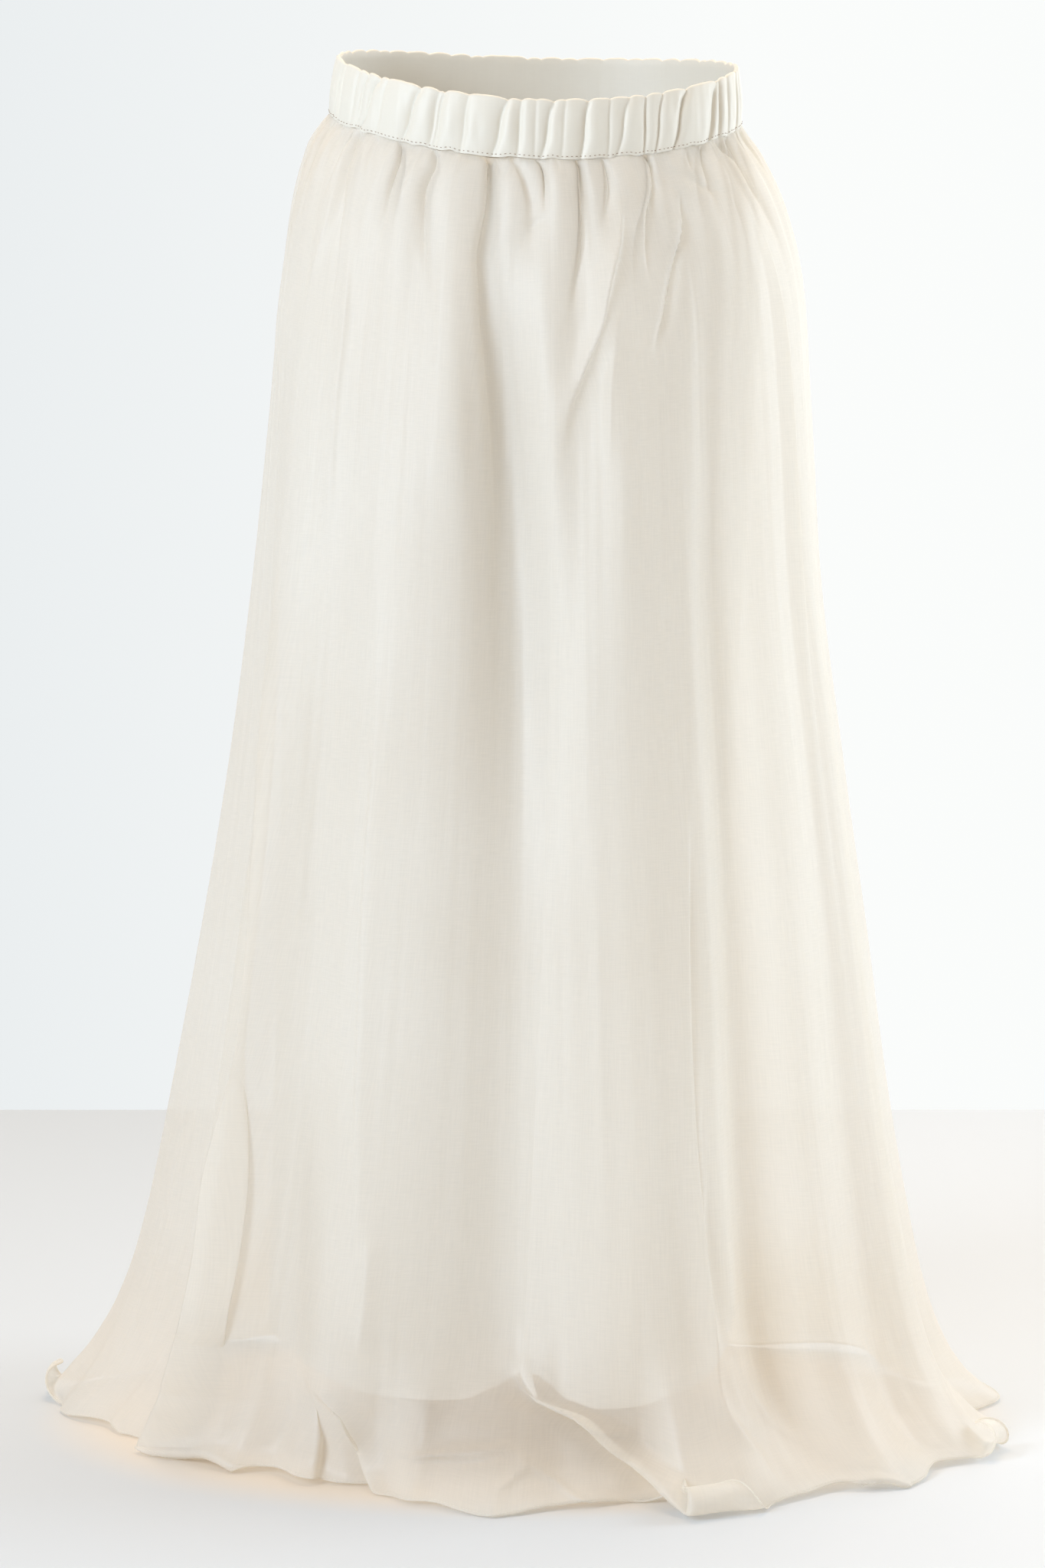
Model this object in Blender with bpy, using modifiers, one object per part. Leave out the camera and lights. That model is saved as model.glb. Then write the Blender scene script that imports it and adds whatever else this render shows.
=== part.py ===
# Gathered maxi skirt as it hangs when worn: an elasticated waistband over a full outer skirt of
# three sheer panels and a slimmer opaque lining of three panels.  Metres, +Z up.  The origin is the
# middle of the waist opening at half the waistband's height, and the front faces -Y.
#
# A place on the garment is a turn and a length of cloth: the turn goes round from the front (0
# degrees) over +X (90) to the back (180) and -X (-90), and the length runs down from the waist seam.

import bisect
import math
import random
from collections import namedtuple

import bmesh
import bpy
from mathutils import Vector

# Driving sizes
BAND_HEIGHT = 0.041
BAND_WALL = 0.0024
BAND_FOOT = dict(left=0.1530, right=0.1450, front=0.1045, back=0.1055)   # inside, at the seam
BAND_HEAD = dict(left=0.1475, right=0.1430, front=0.1040, back=0.1040)   # inside, at the top edge
FLOOR_DROP = 0.990            # from the origin down to the floor
SEAM_GAP = 0.0003
SHEER_WALL = 0.0012
LINING_WALL = 0.0012

# The band dips at the front: its mid line is a level plus two soft waves round the waist.
BAND_LEVEL = 0.0039
BAND_FRONT_DIP = 0.0262
BAND_SIDE_TILT = -0.0042
BAND_SIDE_RISE = 0.0061
TILT_FADE = 0.42              # the dip has died away this far down the cloth

# Seams, as turns
CENTRE_SEAM = 2.0
RIGHT_SEAM = 73.0
LEFT_SEAM = -88.0

Section = namedtuple("Section", "cloth drop left right front back")
OUTER_SECTIONS = [
    Section(cloth=0.000, drop=0.000, left=0.1560, right=0.1485, front=0.1080, back=0.1090),
    Section(cloth=0.012, drop=0.009, left=0.1635, right=0.1540, front=0.1130, back=0.1150),
    Section(cloth=0.032, drop=0.026, left=0.1730, right=0.1650, front=0.1180, back=0.1230),
    Section(cloth=0.070, drop=0.063, left=0.1840, right=0.1820, front=0.1250, back=0.1350),
    Section(cloth=0.130, drop=0.122, left=0.1930, right=0.1965, front=0.1330, back=0.1480),
    Section(cloth=0.230, drop=0.221, left=0.2055, right=0.2040, front=0.1440, back=0.1610),
    Section(cloth=0.350, drop=0.340, left=0.2200, right=0.2115, front=0.1560, back=0.1750),
    Section(cloth=0.480, drop=0.469, left=0.2370, right=0.2280, front=0.1700, back=0.1900),
    Section(cloth=0.610, drop=0.597, left=0.2580, right=0.2450, front=0.1850, back=0.2060),
    Section(cloth=0.730, drop=0.715, left=0.2800, right=0.2600, front=0.2000, back=0.2220),
    Section(cloth=0.830, drop=0.812, left=0.3000, right=0.2760, front=0.2130, back=0.2370),
    Section(cloth=0.900, drop=0.879, left=0.3200, right=0.2900, front=0.2250, back=0.2500),
    Section(cloth=0.945, drop=0.920, left=0.3390, right=0.3040, front=0.2360, back=0.2610),
    Section(cloth=0.975, drop=0.9445, left=0.3560, right=0.3180, front=0.2450, back=0.2710),
    Section(cloth=0.998, drop=0.9600, left=0.3680, right=0.3320, front=0.2530, back=0.2800),
    Section(cloth=1.020, drop=0.9675, left=0.3720, right=0.3450, front=0.2620, back=0.2880),
]
LINING_SECTIONS = [
    Section(cloth=0.000, drop=0.000, left=0.1534, right=0.1459, front=0.1054, back=0.1064),
    Section(cloth=0.015, drop=0.013, left=0.1600, right=0.1500, front=0.1080, back=0.1115),
    Section(cloth=0.045, drop=0.042, left=0.1680, right=0.1600, front=0.1105, back=0.1200),
    Section(cloth=0.110, drop=0.106, left=0.1780, right=0.1680, front=0.1170, back=0.1330),
    Section(cloth=0.230, drop=0.225, left=0.1860, right=0.1640, front=0.1300, back=0.1430),
    Section(cloth=0.420, drop=0.415, left=0.1920, right=0.1560, front=0.1430, back=0.1510),
    Section(cloth=0.650, drop=0.644, left=0.1990, right=0.1500, front=0.1570, back=0.1620),
    Section(cloth=0.880, drop=0.873, left=0.2060, right=0.1540, front=0.1690, back=0.1730),
]

# Long folds: where each stands at the waist and at the hem, how far it comes out (or goes in, below
# zero) at the hem, its half width in degrees and the length of cloth where it starts.
Fold = namedtuple("Fold", "waist hem out width start")
OUTER_FOLDS = [
    Fold(waist=-104, hem=-104, out=0.012, width=10, start=0.20),
    Fold(waist=-76, hem=-73, out=-0.056, width=14, start=0.16),
    Fold(waist=-64, hem=-50, out=0.022, width=9, start=0.10),
    Fold(waist=-44, hem=-39, out=-0.030, width=9, start=0.20),
    Fold(waist=-33, hem=-26, out=0.012, width=7, start=0.10),
    Fold(waist=-15, hem=-9, out=-0.024, width=7, start=-0.40),
    Fold(waist=3, hem=5, out=0.009, width=5, start=0.05),
    Fold(waist=12, hem=9, out=0.006, width=6, start=0.20),
    Fold(waist=22, hem=18, out=-0.014, width=6, start=0.15),
    Fold(waist=30, hem=25, out=0.014, width=5, start=0.10),
    Fold(waist=38, hem=33, out=-0.036, width=6, start=0.00),
    Fold(waist=51, hem=44, out=0.010, width=8, start=0.15),
    Fold(waist=60, hem=56, out=-0.014, width=6, start=0.25),
    Fold(waist=66, hem=67, out=0.015, width=9, start=0.05),
    Fold(waist=84, hem=85, out=-0.036, width=10, start=0.10),
    Fold(waist=102, hem=101, out=0.016, width=9, start=0.12),
    Fold(waist=117, hem=118, out=-0.026, width=9, start=0.06),
    Fold(waist=131, hem=133, out=0.014, width=9, start=0.20),
    Fold(waist=146, hem=148, out=-0.022, width=8, start=0.12),
    Fold(waist=160, hem=162, out=0.014, width=8, start=0.08),
    Fold(waist=176, hem=177, out=-0.026, width=9, start=0.03),
    Fold(waist=191, hem=192, out=0.015, width=8, start=0.16),
    Fold(waist=206, hem=207, out=-0.024, width=9, start=0.10),
    Fold(waist=221, hem=222, out=0.013, width=8, start=0.22),
    Fold(waist=235, hem=237, out=-0.026, width=9, start=0.08),
]
LINING_FOLDS = [
    Fold(waist=-70, hem=-66, out=-0.008, width=11, start=0.15),
    Fold(waist=-15, hem=-8, out=-0.024, width=9, start=-0.40),
    Fold(waist=38, hem=30, out=-0.010, width=9, start=0.10),
    Fold(waist=84, hem=80, out=-0.008, width=10, start=0.20),
    Fold(waist=130, hem=132, out=-0.010, width=11, start=0.12),
    Fold(waist=176, hem=174, out=-0.010, width=10, start=0.10),
    Fold(waist=222, hem=224, out=-0.010, width=11, start=0.15),
]

# The hem's outline on the floor: how far it lies outside the last section, by turn.
Lobe = namedtuple("Lobe", "turn out")
HEM_LOBES = [
    Lobe(turn=-104, out=0.022), Lobe(turn=-94, out=-0.004), Lobe(turn=-79, out=-0.042),
    Lobe(turn=-66, out=-0.058), Lobe(turn=-50, out=-0.050), Lobe(turn=-41, out=-0.066),
    Lobe(turn=-31, out=-0.040), Lobe(turn=-22, out=-0.056), Lobe(turn=-14, out=-0.012),
    Lobe(turn=-5, out=0.012), Lobe(turn=4, out=-0.010), Lobe(turn=15, out=-0.034),
    Lobe(turn=23, out=0.008), Lobe(turn=31, out=0.004), Lobe(turn=37, out=-0.012),
    Lobe(turn=43, out=0.014), Lobe(turn=54, out=-0.024), Lobe(turn=66, out=0.022),
    Lobe(turn=78, out=0.006), Lobe(turn=88, out=-0.024), Lobe(turn=101, out=0.018),
    Lobe(turn=118, out=-0.022), Lobe(turn=133, out=0.014), Lobe(turn=148, out=-0.020),
    Lobe(turn=162, out=0.018), Lobe(turn=177, out=-0.020), Lobe(turn=192, out=0.016),
    Lobe(turn=207, out=-0.022), Lobe(turn=222, out=0.012), Lobe(turn=237, out=-0.020),
]
LOBE_START = 0.86             # the folds give way to the hem's own lobes from here down the cloth

# Small gathers under the band.  The front ones are placed by hand; the rest are spaced by a rule.
Gather = namedtuple("Gather", "turn depth length")
FRONT_GATHERS = [
    Gather(turn=-53, depth=0.0050, length=0.10), Gather(turn=-45, depth=0.0030, length=0.07),
    Gather(turn=-38, depth=0.0050, length=0.12), Gather(turn=-26, depth=0.0045, length=0.09),
    Gather(turn=-17, depth=0.0040, length=0.14), Gather(turn=-9, depth=0.0045, length=0.10),
    Gather(turn=1, depth=0.0040, length=0.12), Gather(turn=10, depth=0.0060, length=0.18),
    Gather(turn=17, depth=0.0035, length=0.08), Gather(turn=28, depth=0.0075, length=0.20),
    Gather(turn=39, depth=0.0045, length=0.11), Gather(turn=51, depth=0.0050, length=0.12),
    Gather(turn=61, depth=0.0045, length=0.10),
]
GATHER_WIDTH = 2.7            # degrees
OTHER_GATHERS = 26            # round the sides and the back
GATHER_SEED = 11

# Creases across the casing, as turns at its top and its bottom edge.
Crease = namedtuple("Crease", "top bottom depth")
FRONT_CREASES = [
    Crease(top=-49, bottom=-57, depth=1.0), Crease(top=-38, bottom=-42, depth=0.6),
    Crease(top=-29, bottom=-30, depth=0.9), Crease(top=-19, bottom=-20, depth=0.5),
    Crease(top=-9, bottom=-12, depth=1.0), Crease(top=-3, bottom=-6, depth=0.8),
    Crease(top=3, bottom=-0.5, depth=0.9), Crease(top=13, bottom=11, depth=1.0),
    Crease(top=19, bottom=18, depth=0.7), Crease(top=30, bottom=28, depth=1.0),
    Crease(top=36, bottom=33, depth=0.8), Crease(top=45, bottom=39, depth=1.0),
    Crease(top=56, bottom=50, depth=0.7), Crease(top=65, bottom=59, depth=0.9),
]
OTHER_CREASES = 24
CREASE_SEED = 5
CREASE_WIDTH = 2.0            # degrees
PUFF = 0.0034                 # how far the casing stands out between two creases
TOP_FRILL = 0.0016            # the top edge stands up this much between two creases

# The lining's hem: its height over the floor by turn, with the notch at the centre seam.
Hem = namedtuple("Hem", "turn height")
LINING_HEM = [
    Hem(turn=-88, height=0.100), Hem(turn=-60, height=0.092), Hem(turn=-35, height=0.088),
    Hem(turn=-16, height=0.089), Hem(turn=-8, height=0.092), Hem(turn=1, height=0.101),
    Hem(turn=3, height=0.101), Hem(turn=10, height=0.086), Hem(turn=20, height=0.083),
    Hem(turn=45, height=0.090), Hem(turn=73, height=0.098), Hem(turn=110, height=0.104),
    Hem(turn=150, height=0.096), Hem(turn=185, height=0.092), Hem(turn=230, height=0.098),
]

OUTER_STEP = 2.8              # degrees between columns of the outer skirt
LINING_STEP = 4.6
BAND_STEP = 2.2
SEAM_STEP = 0.5               # degrees from a seam to the column beside it

Finish = namedtuple("Finish", "name color roughness")
SHEER = Finish("sheer organza", (0.86, 0.82, 0.75), 0.55)
LINING = Finish("lining crepe", (0.84, 0.80, 0.73), 0.50)
CASING = Finish("casing organza", (0.87, 0.83, 0.76), 0.55)


def smooth(low, high, value):
    share = min(1.0, max(0.0, (value - low) / (high - low)))
    return share * share * (3 - 2 * share)


def apart(turn, other):
    """Signed degrees from other to turn, the short way round."""
    return (turn - other + 180.0) % 360.0 - 180.0


def hump(distance, width):
    return math.exp(-(distance / width) ** 2)


def cubic(before, start, end, after, share):
    """Catmull-Rom between start and end."""
    a = 2 * start
    b = end - before
    c = 2 * before - 5 * start + 4 * end - after
    d = after - before + 3 * (start - end)
    return 0.5 * (a + b * share + c * share ** 2 + d * share ** 3)


def section_at(sections, cloth):
    """One section read from a table, with every column a smooth curve of the cloth's length."""
    lengths = [row.cloth for row in sections]
    low = min(len(sections) - 2, max(0, bisect.bisect_right(lengths, cloth) - 1))
    share = (cloth - lengths[low]) / (lengths[low + 1] - lengths[low])
    rows = [sections[max(0, low - 1)], sections[low], sections[low + 1],
            sections[min(len(sections) - 1, low + 2)]]
    return Section(*(cubic(*column, share) for column in zip(*rows)))


def around(rows, turn, column):
    """A column of a table by turn, as a smooth closed curve."""
    turns = [row.turn for row in rows]
    turn = (turn - turns[0]) % 360.0 + turns[0]
    low = bisect.bisect_right(turns, turn) - 1
    high = (low + 1) % len(rows)
    span = (turns[high] - turns[low]) % 360.0
    share = (turn - turns[low]) / span
    values = [getattr(row, column) for row in rows]
    share = share * share * (3 - 2 * share)
    return values[low] + (values[high] - values[low]) * share


def band_mid(turn):
    angle = math.radians(turn)
    return (BAND_LEVEL - BAND_FRONT_DIP * math.cos(angle) + BAND_SIDE_TILT * math.sin(angle)
            - BAND_SIDE_RISE * math.cos(2 * angle))


def ring_point(left, right, front, back, turn, out, height):
    """A point at a turn of an uneven oval, moved out along the oval's normal."""
    sine = math.sin(math.radians(turn))
    cosine = math.cos(math.radians(turn))
    half_width = right if sine > 0 else left
    depth = front if cosine > 0 else back
    normal = Vector((sine / half_width, -cosine / depth, 0)).normalized()
    return Vector((half_width * sine, -depth * cosine, height)) + normal * out


def spread(count, rows, seed):
    """Turns for the gathers or creases that the hand-placed rows leave room for."""
    pick = random.Random(seed)
    first = max(row[0] for row in rows)
    room = 360.0 - (first - min(row[0] for row in rows))
    step = room / (count + 1)
    return [(first + step * (number + 1 + pick.uniform(-0.25, 0.25)), pick.uniform(0.55, 1.0))
            for number in range(count)]


GATHERS = FRONT_GATHERS + [
    Gather(turn=turn, depth=0.0060 * strength, length=0.07 + 0.12 * strength ** 2)
    for turn, strength in spread(OTHER_GATHERS, FRONT_GATHERS, GATHER_SEED)]
CREASES = FRONT_CREASES + [
    Crease(top=turn + 2.0 * strength, bottom=turn, depth=strength)
    for turn, strength in spread(OTHER_CREASES, FRONT_CREASES, CREASE_SEED)]


def gather_out(turn, cloth):
    """The small gathers: narrow valleys that open at the seam and die away below."""
    total = 0.0
    for row in GATHERS:
        distance = apart(turn, row.turn)
        if abs(distance) < 4 * GATHER_WIDTH:
            shape = hump(distance, GATHER_WIDTH * (1 + cloth / 0.25)) - 0.25
            total -= row.depth * shape * math.exp(-(cloth / row.length) ** 1.5)
    return total * (0.35 + 0.65 * smooth(0.0, 0.03, cloth))


def fold_out(folds, turn, cloth, length):
    total = 0.0
    for row in folds:
        place = row.waist + (row.hem - row.waist) * smooth(0.0, length, cloth)
        grown = max(0.0, cloth - row.start) / (length - row.start)
        total += row.out * grown ** 0.85 * hump(apart(turn, place), row.width)
    return total


def seam_height(turn):
    return band_mid(turn) - BAND_HEIGHT / 2 - SEAM_GAP


def level(turn, cloth, drop):
    """Height of a place on the cloth: the band's dip dies away down the skirt."""
    keep = 1 - smooth(0.0, TILT_FADE, cloth)
    flat = -BAND_HEIGHT / 2 - SEAM_GAP
    return flat + (seam_height(turn) - flat) * keep - drop


def outer_point(turn, cloth):
    row = section_at(OUTER_SECTIONS, cloth)
    length = OUTER_SECTIONS[-1].cloth
    on_floor = smooth(LOBE_START, length, cloth)
    out = fold_out(OUTER_FOLDS, turn, cloth, length) * (1 - on_floor) + gather_out(turn, cloth)
    out += around(HEM_LOBES, turn, "out") * on_floor
    return ring_point(row.left, row.right, row.front, row.back, turn, out,
                      level(turn, cloth, row.drop))


def lining_point(turn, cloth):
    """The lining follows the outer gathers under the band, then its own few folds."""
    full = LINING_SECTIONS[-1].cloth
    hem_drop = FLOOR_DROP - BAND_HEIGHT / 2 - around(LINING_HEM, turn, "height")
    cloth_here = cloth * (hem_drop + full - LINING_SECTIONS[-1].drop) / full
    row = section_at(LINING_SECTIONS, min(full, cloth_here))
    extra = max(0.0, cloth_here - full)
    out = fold_out(LINING_FOLDS, turn, cloth, full) + gather_out(turn, cloth)
    return ring_point(row.left, row.right, row.front, row.back, turn, out,
                      level(turn, cloth, row.drop + extra))


def columns(start, end, step):
    """Turns from one seam to the next, with a close column beside each seam."""
    count = max(2, round((end - start - 2 * SEAM_STEP) / step))
    inner = [start + SEAM_STEP + (end - start - 2 * SEAM_STEP) * number / count
             for number in range(count + 1)]
    return [start] + inner + [end]


def finish(obj, look, collection):
    material = bpy.data.materials.get(look.name)
    if material is None:
        material = bpy.data.materials.new(look.name)
        material.use_nodes = True
        shader = material.node_tree.nodes["Principled BSDF"]
        shader.inputs["Base Color"].default_value = (*look.color, 1)
        shader.inputs["Roughness"].default_value = look.roughness
        shader.inputs["Metallic"].default_value = 0.0
    obj.data.materials.append(material)
    obj.data.shade_smooth()
    collection.objects.link(obj)
    return obj


def grid_mesh(name, rows):
    """An open surface through rows of points, its faces pointing out of the garment."""
    mesh = bpy.data.meshes.new(name)
    shape = bmesh.new()
    lines = [[shape.verts.new(point) for point in row] for row in rows]
    for upper, lower in zip(lines, lines[1:]):
        for number in range(len(upper) - 1):
            shape.faces.new((upper[number], lower[number], lower[number + 1], upper[number + 1]))
    shape.to_mesh(mesh)
    shape.free()
    return mesh


def seam_moved(rows):
    """Draws both edge columns in by half the seam gap, along the cloth."""
    for row in rows:
        for edge, beside in ((0, 1), (-1, -2)):
            along = row[beside] - row[edge]
            along.z = 0
            row[edge] = row[edge] + along.normalized() * (SEAM_GAP / 2)
    return rows


def panel(name, point, lengths, start, end, step, wall, look, collection):
    """One cut panel between two seams: an open sheet, thickened towards the inside."""
    turns = columns(start, end, step)
    rows = seam_moved([[point(turn, cloth) for turn in turns] for cloth in lengths])
    obj = bpy.data.objects.new(name, grid_mesh(name, rows))
    thick = obj.modifiers.new("Wall", "SOLIDIFY")
    thick.thickness = wall
    thick.offset = -1
    return finish(obj, look, collection)


def casing_out(turn, share):
    """How far the casing stands out; share runs from 0 at its seam to 1 at its top edge."""
    out = 1.0
    for row in CREASES:
        place = row.bottom + (row.top - row.bottom) * share
        distance = apart(turn, place)
        if abs(distance) < 4 * CREASE_WIDTH:
            out -= row.depth * hump(distance, CREASE_WIDTH)
    belly = 0.30 + 0.70 * math.sin(math.pi * min(1.0, 0.12 + 0.80 * share))
    return PUFF * max(0.0, out) * belly


def casing(name, start, end, look, collection):
    """Half of the waistband: puffed and creased outside over a plain inside, open top and bottom."""
    turns = columns(start, end, BAND_STEP)
    shares = [0.0, 0.3, 0.7, 1.0]

    def place(turn, share, out):
        frill = TOP_FRILL * casing_out(turn, 1.0) / PUFF if share == 1.0 else 0.0
        height = band_mid(turn) + BAND_HEIGHT * (share - 0.5) + frill
        sides = (BAND_FOOT[side] + (BAND_HEAD[side] - BAND_FOOT[side]) * share
                 for side in ("left", "right", "front", "back"))
        return ring_point(*sides, turn, out, height)

    outside = seam_moved([[place(turn, share, BAND_WALL + casing_out(turn, share)) for turn in turns]
                          for share in shares])
    inside = seam_moved([[place(turn, share, 0.0) for turn in turns] for share in shares])
    mesh = bpy.data.meshes.new(name)
    shape = bmesh.new()
    loop = outside[::-1] + inside
    lines = [[shape.verts.new(point) for point in row] for row in loop]
    for upper, lower in zip(lines, lines[1:] + lines[:1]):
        for number in range(len(turns) - 1):
            shape.faces.new((upper[number], lower[number], lower[number + 1], upper[number + 1]))
    for end_points in ([line[0] for line in lines], [line[-1] for line in lines][::-1]):
        shape.faces.new(end_points)
    bmesh.ops.recalc_face_normals(shape, faces=shape.faces[:])
    shape.to_mesh(mesh)
    shape.free()
    return finish(bpy.data.objects.new(name, mesh), look, collection)


def main():
    for old in list(bpy.data.objects):
        bpy.data.objects.remove(old, do_unlink=True)
    collection = bpy.data.collections.new("Maxi skirt")
    bpy.context.scene.collection.children.link(collection)

    outer_lengths = [row.cloth for row in OUTER_SECTIONS]
    lining_lengths = [row.cloth for row in LINING_SECTIONS]
    panels = (("front_left", LEFT_SEAM, CENTRE_SEAM), ("front_right", CENTRE_SEAM, RIGHT_SEAM),
              ("back", RIGHT_SEAM, LEFT_SEAM + 360.0))
    for name, start, end in panels:
        panel("skirt_" + name, outer_point, outer_lengths, start, end, OUTER_STEP, SHEER_WALL,
              SHEER, collection)
        panel("lining_" + name, lining_point, lining_lengths, start, end, LINING_STEP, LINING_WALL,
              LINING, collection)
    casing("waistband_front", LEFT_SEAM, RIGHT_SEAM, CASING, collection)
    casing("waistband_back", RIGHT_SEAM, LEFT_SEAM + 360.0, CASING, collection)


main()
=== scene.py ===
import math
import bpy
import numpy as np
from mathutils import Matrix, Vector


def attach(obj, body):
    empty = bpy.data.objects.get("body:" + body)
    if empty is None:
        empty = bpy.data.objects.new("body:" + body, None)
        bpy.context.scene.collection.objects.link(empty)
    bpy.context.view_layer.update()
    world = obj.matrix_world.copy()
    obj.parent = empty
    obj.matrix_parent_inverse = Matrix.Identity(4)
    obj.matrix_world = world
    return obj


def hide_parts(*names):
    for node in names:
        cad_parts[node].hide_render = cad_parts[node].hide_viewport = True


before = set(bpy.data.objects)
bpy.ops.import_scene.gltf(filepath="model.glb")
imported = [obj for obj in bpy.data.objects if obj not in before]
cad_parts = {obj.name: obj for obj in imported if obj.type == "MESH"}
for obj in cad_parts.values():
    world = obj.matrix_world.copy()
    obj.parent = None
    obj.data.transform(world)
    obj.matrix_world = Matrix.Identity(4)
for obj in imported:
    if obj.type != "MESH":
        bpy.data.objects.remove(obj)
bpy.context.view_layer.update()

# Metres and degrees. A place on the cloth is a turn and a length: the turn goes round from the front
# (0) over +X (90) to the back (180), and the length runs down from the waist seam.

cut = {
    "bandHeight": 0.041,
    "bandWall": 0.0024,
    "floorDrop": 0.990,
    "seamGap": 0.0003,
    "bandLevel": 0.0039,
    "bandFrontDip": 0.0262,
    "bandSideTilt": -0.0042,
    "bandSideRise": 0.0061,
    "dipFade": 0.42,        # the band's dip has died away this far down the cloth
    "centreSeam": 2.0,
    "centreSeamHem": -3.5,  # the centre seam wanders to this turn at the hem
    "rightSeam": 73.0,
    "leftSeam": -88.0,
    "seamAllowance": 0.0060,
    "waistAllowance": 0.0065,
    "seamWave": 0.0008,     # the puckered waist seam goes this much up and down
}
frontLeft = (cut["leftSeam"], cut["centreSeam"])
frontRight = (cut["centreSeam"], cut["rightSeam"])
back = (cut["rightSeam"], cut["leftSeam"] + 360.0)


# Shape rules that every piece uses

def smoothStep(low, high, value):
    share = np.clip((value - low) / (high - low), 0.0, 1.0)
    return share * share * (3 - 2 * share)


def apart(turn, other):
    return (turn - other + 180.0) % 360.0 - 180.0


def hump(distance, width):
    return np.exp(-(distance / width) ** 2)


def sharpHump(distance, before, after):
    width = np.where(distance < 0, before, after)
    return np.exp(-np.abs(distance / width) ** 1.5)


def curveThrough(places, values, place):
    places = np.asarray(places, float)
    values = np.asarray(values, float)
    last = len(places) - 1
    low = np.clip(np.searchsorted(places, place, side="right") - 1, 0, last - 1)
    share = (place - places[low]) / (places[low + 1] - places[low])
    first = values[np.maximum(low - 1, 0)]
    start = values[low]
    end = values[low + 1]
    final = values[np.minimum(low + 2, last)]
    bend = 2 * first - 5 * start + 4 * end - final
    twist = final - first + 3 * (start - end)
    return 0.5 * (2 * start + (end - first) * share + bend * share ** 2 + twist * share ** 3)


def ringTable(rows, turn):
    # rows of (turn, value) as a smooth closed curve
    places = np.array([row[0] for row in rows] + [rows[0][0] + 360.0])
    values = np.array([row[1] for row in rows] + [rows[0][1]])
    place = (turn - places[0]) % 360.0 + places[0]
    low = np.clip(np.searchsorted(places, place, side="right") - 1, 0, len(rows) - 1)
    share = smoothStep(0.0, 1.0, (place - places[low]) / (places[low + 1] - places[low]))
    return values[low] + (values[low + 1] - values[low]) * share


def ringNoise(turn, cloth, knots, rowLength, seed):
    # soft unevenness, knots to a turn round and one row for each rowLength of cloth
    rows = int(1.1 / rowLength) + 3
    values = np.random.default_rng(seed).uniform(-1, 1, (rows, knots))
    across = (turn % 360.0) / 360.0 * knots
    down = np.clip(cloth / rowLength, 0, rows - 2.001)
    column = np.floor(across).astype(int)
    row = np.floor(down).astype(int)
    shareAcross = smoothStep(0.0, 1.0, across - column)
    shareDown = smoothStep(0.0, 1.0, down - row)
    nextColumn = (column + 1) % knots
    column = column % knots
    upper = values[row, column] * (1 - shareAcross) + values[row, nextColumn] * shareAcross
    lower = values[row + 1, column] * (1 - shareAcross) + values[row + 1, nextColumn] * shareAcross
    return upper * (1 - shareDown) + lower * shareDown


def layeredNoise(turn, cloth, rows):
    return sum(strength * ringNoise(turn, cloth, *sizes) for strength, *sizes in rows)


def bandMid(turn):
    angle = np.radians(turn)
    dip = cut["bandFrontDip"] * np.cos(angle) - cut["bandSideTilt"] * np.sin(angle)
    return cut["bandLevel"] - dip - cut["bandSideRise"] * np.cos(2 * angle)


def seamWave(turn):
    return cut["seamWave"] * ringNoise(turn, 0 * turn, 130, 0.05, 12)


def ringPoint(size, turn, out, side, height):
    # size is left, right, front and back of an uneven oval
    left, right, front, rear = size
    sine = np.sin(np.radians(turn))
    cosine = np.cos(np.radians(turn))
    halfWidth = np.where(sine > 0, right, left)
    depth = np.where(cosine > 0, front, rear)
    normalX = sine / halfWidth
    normalY = -cosine / depth
    length = np.hypot(normalX, normalY)
    normalX = normalX / length
    normalY = normalY / length
    x = halfWidth * sine + normalX * out - normalY * side
    y = -depth * cosine + normalY * out + normalX * side
    return np.stack([x, y, height + 0 * x], axis=-1)


def sizeAt(sections, cloth):
    lengths = [row[0] for row in sections]
    return [curveThrough(lengths, [row[number] for row in sections], cloth) for number in range(1, 6)]


def levelAt(turn, cloth, drop):
    keep = 1 - smoothStep(0.0, cut["dipFade"], cloth)
    flat = -cut["bandHeight"] / 2 - cut["seamGap"]
    level = flat + (bandMid(turn) - cut["bandHeight"] / 2 - cut["seamGap"] - flat) * keep - drop
    return level + seamWave(turn) * np.exp(-cloth / 0.012)


def foldOut(folds, turn, cloth, length):
    total = np.zeros_like(turn)
    for waist, knee, hem, out, width, start in folds:
        place = curveThrough([0.0, outerSkirt["kneeLength"], length], [waist, knee, hem], cloth)
        grown = np.maximum(0.0, cloth - start) / (length - start)
        total += out * grown ** 0.85 * hump(apart(turn, place), width)
    return total


def creaseShift(creases, turn, cloth, rise, fall):
    # each row is out, half width before and after it in degrees, and its path of (turn, cloth); the
    # edge on its narrow side leans over it
    total = np.zeros_like(turn)
    side = np.zeros_like(turn)
    for out, before, after, path in creases:
        places = [point[1] for point in path]
        near = (cloth >= places[0]) & (cloth <= places[-1])
        centre = curveThrough(places, [point[0] for point in path], np.clip(cloth, places[0], places[-1]))
        span = places[-1] - places[0]
        distance = apart(turn, centre)
        start = 1.0 if rise == 0 else smoothStep(0.0, rise, (cloth - places[0]) / span)
        end = 1 - smoothStep(1 - fall, 1.0, (cloth - places[0]) / span)
        strength = np.where(near, start * end, 0.0)
        total += out * sharpHump(distance, before, after) * strength
        if before != after:
            lean = 1.0 if before < after else -1.0
            side += lean * 0.55 * abs(out) * hump(distance + lean * 1.3 * min(before, after), 1.2) * strength
    return total, side


# The outer skirt of sheer cloth

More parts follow.
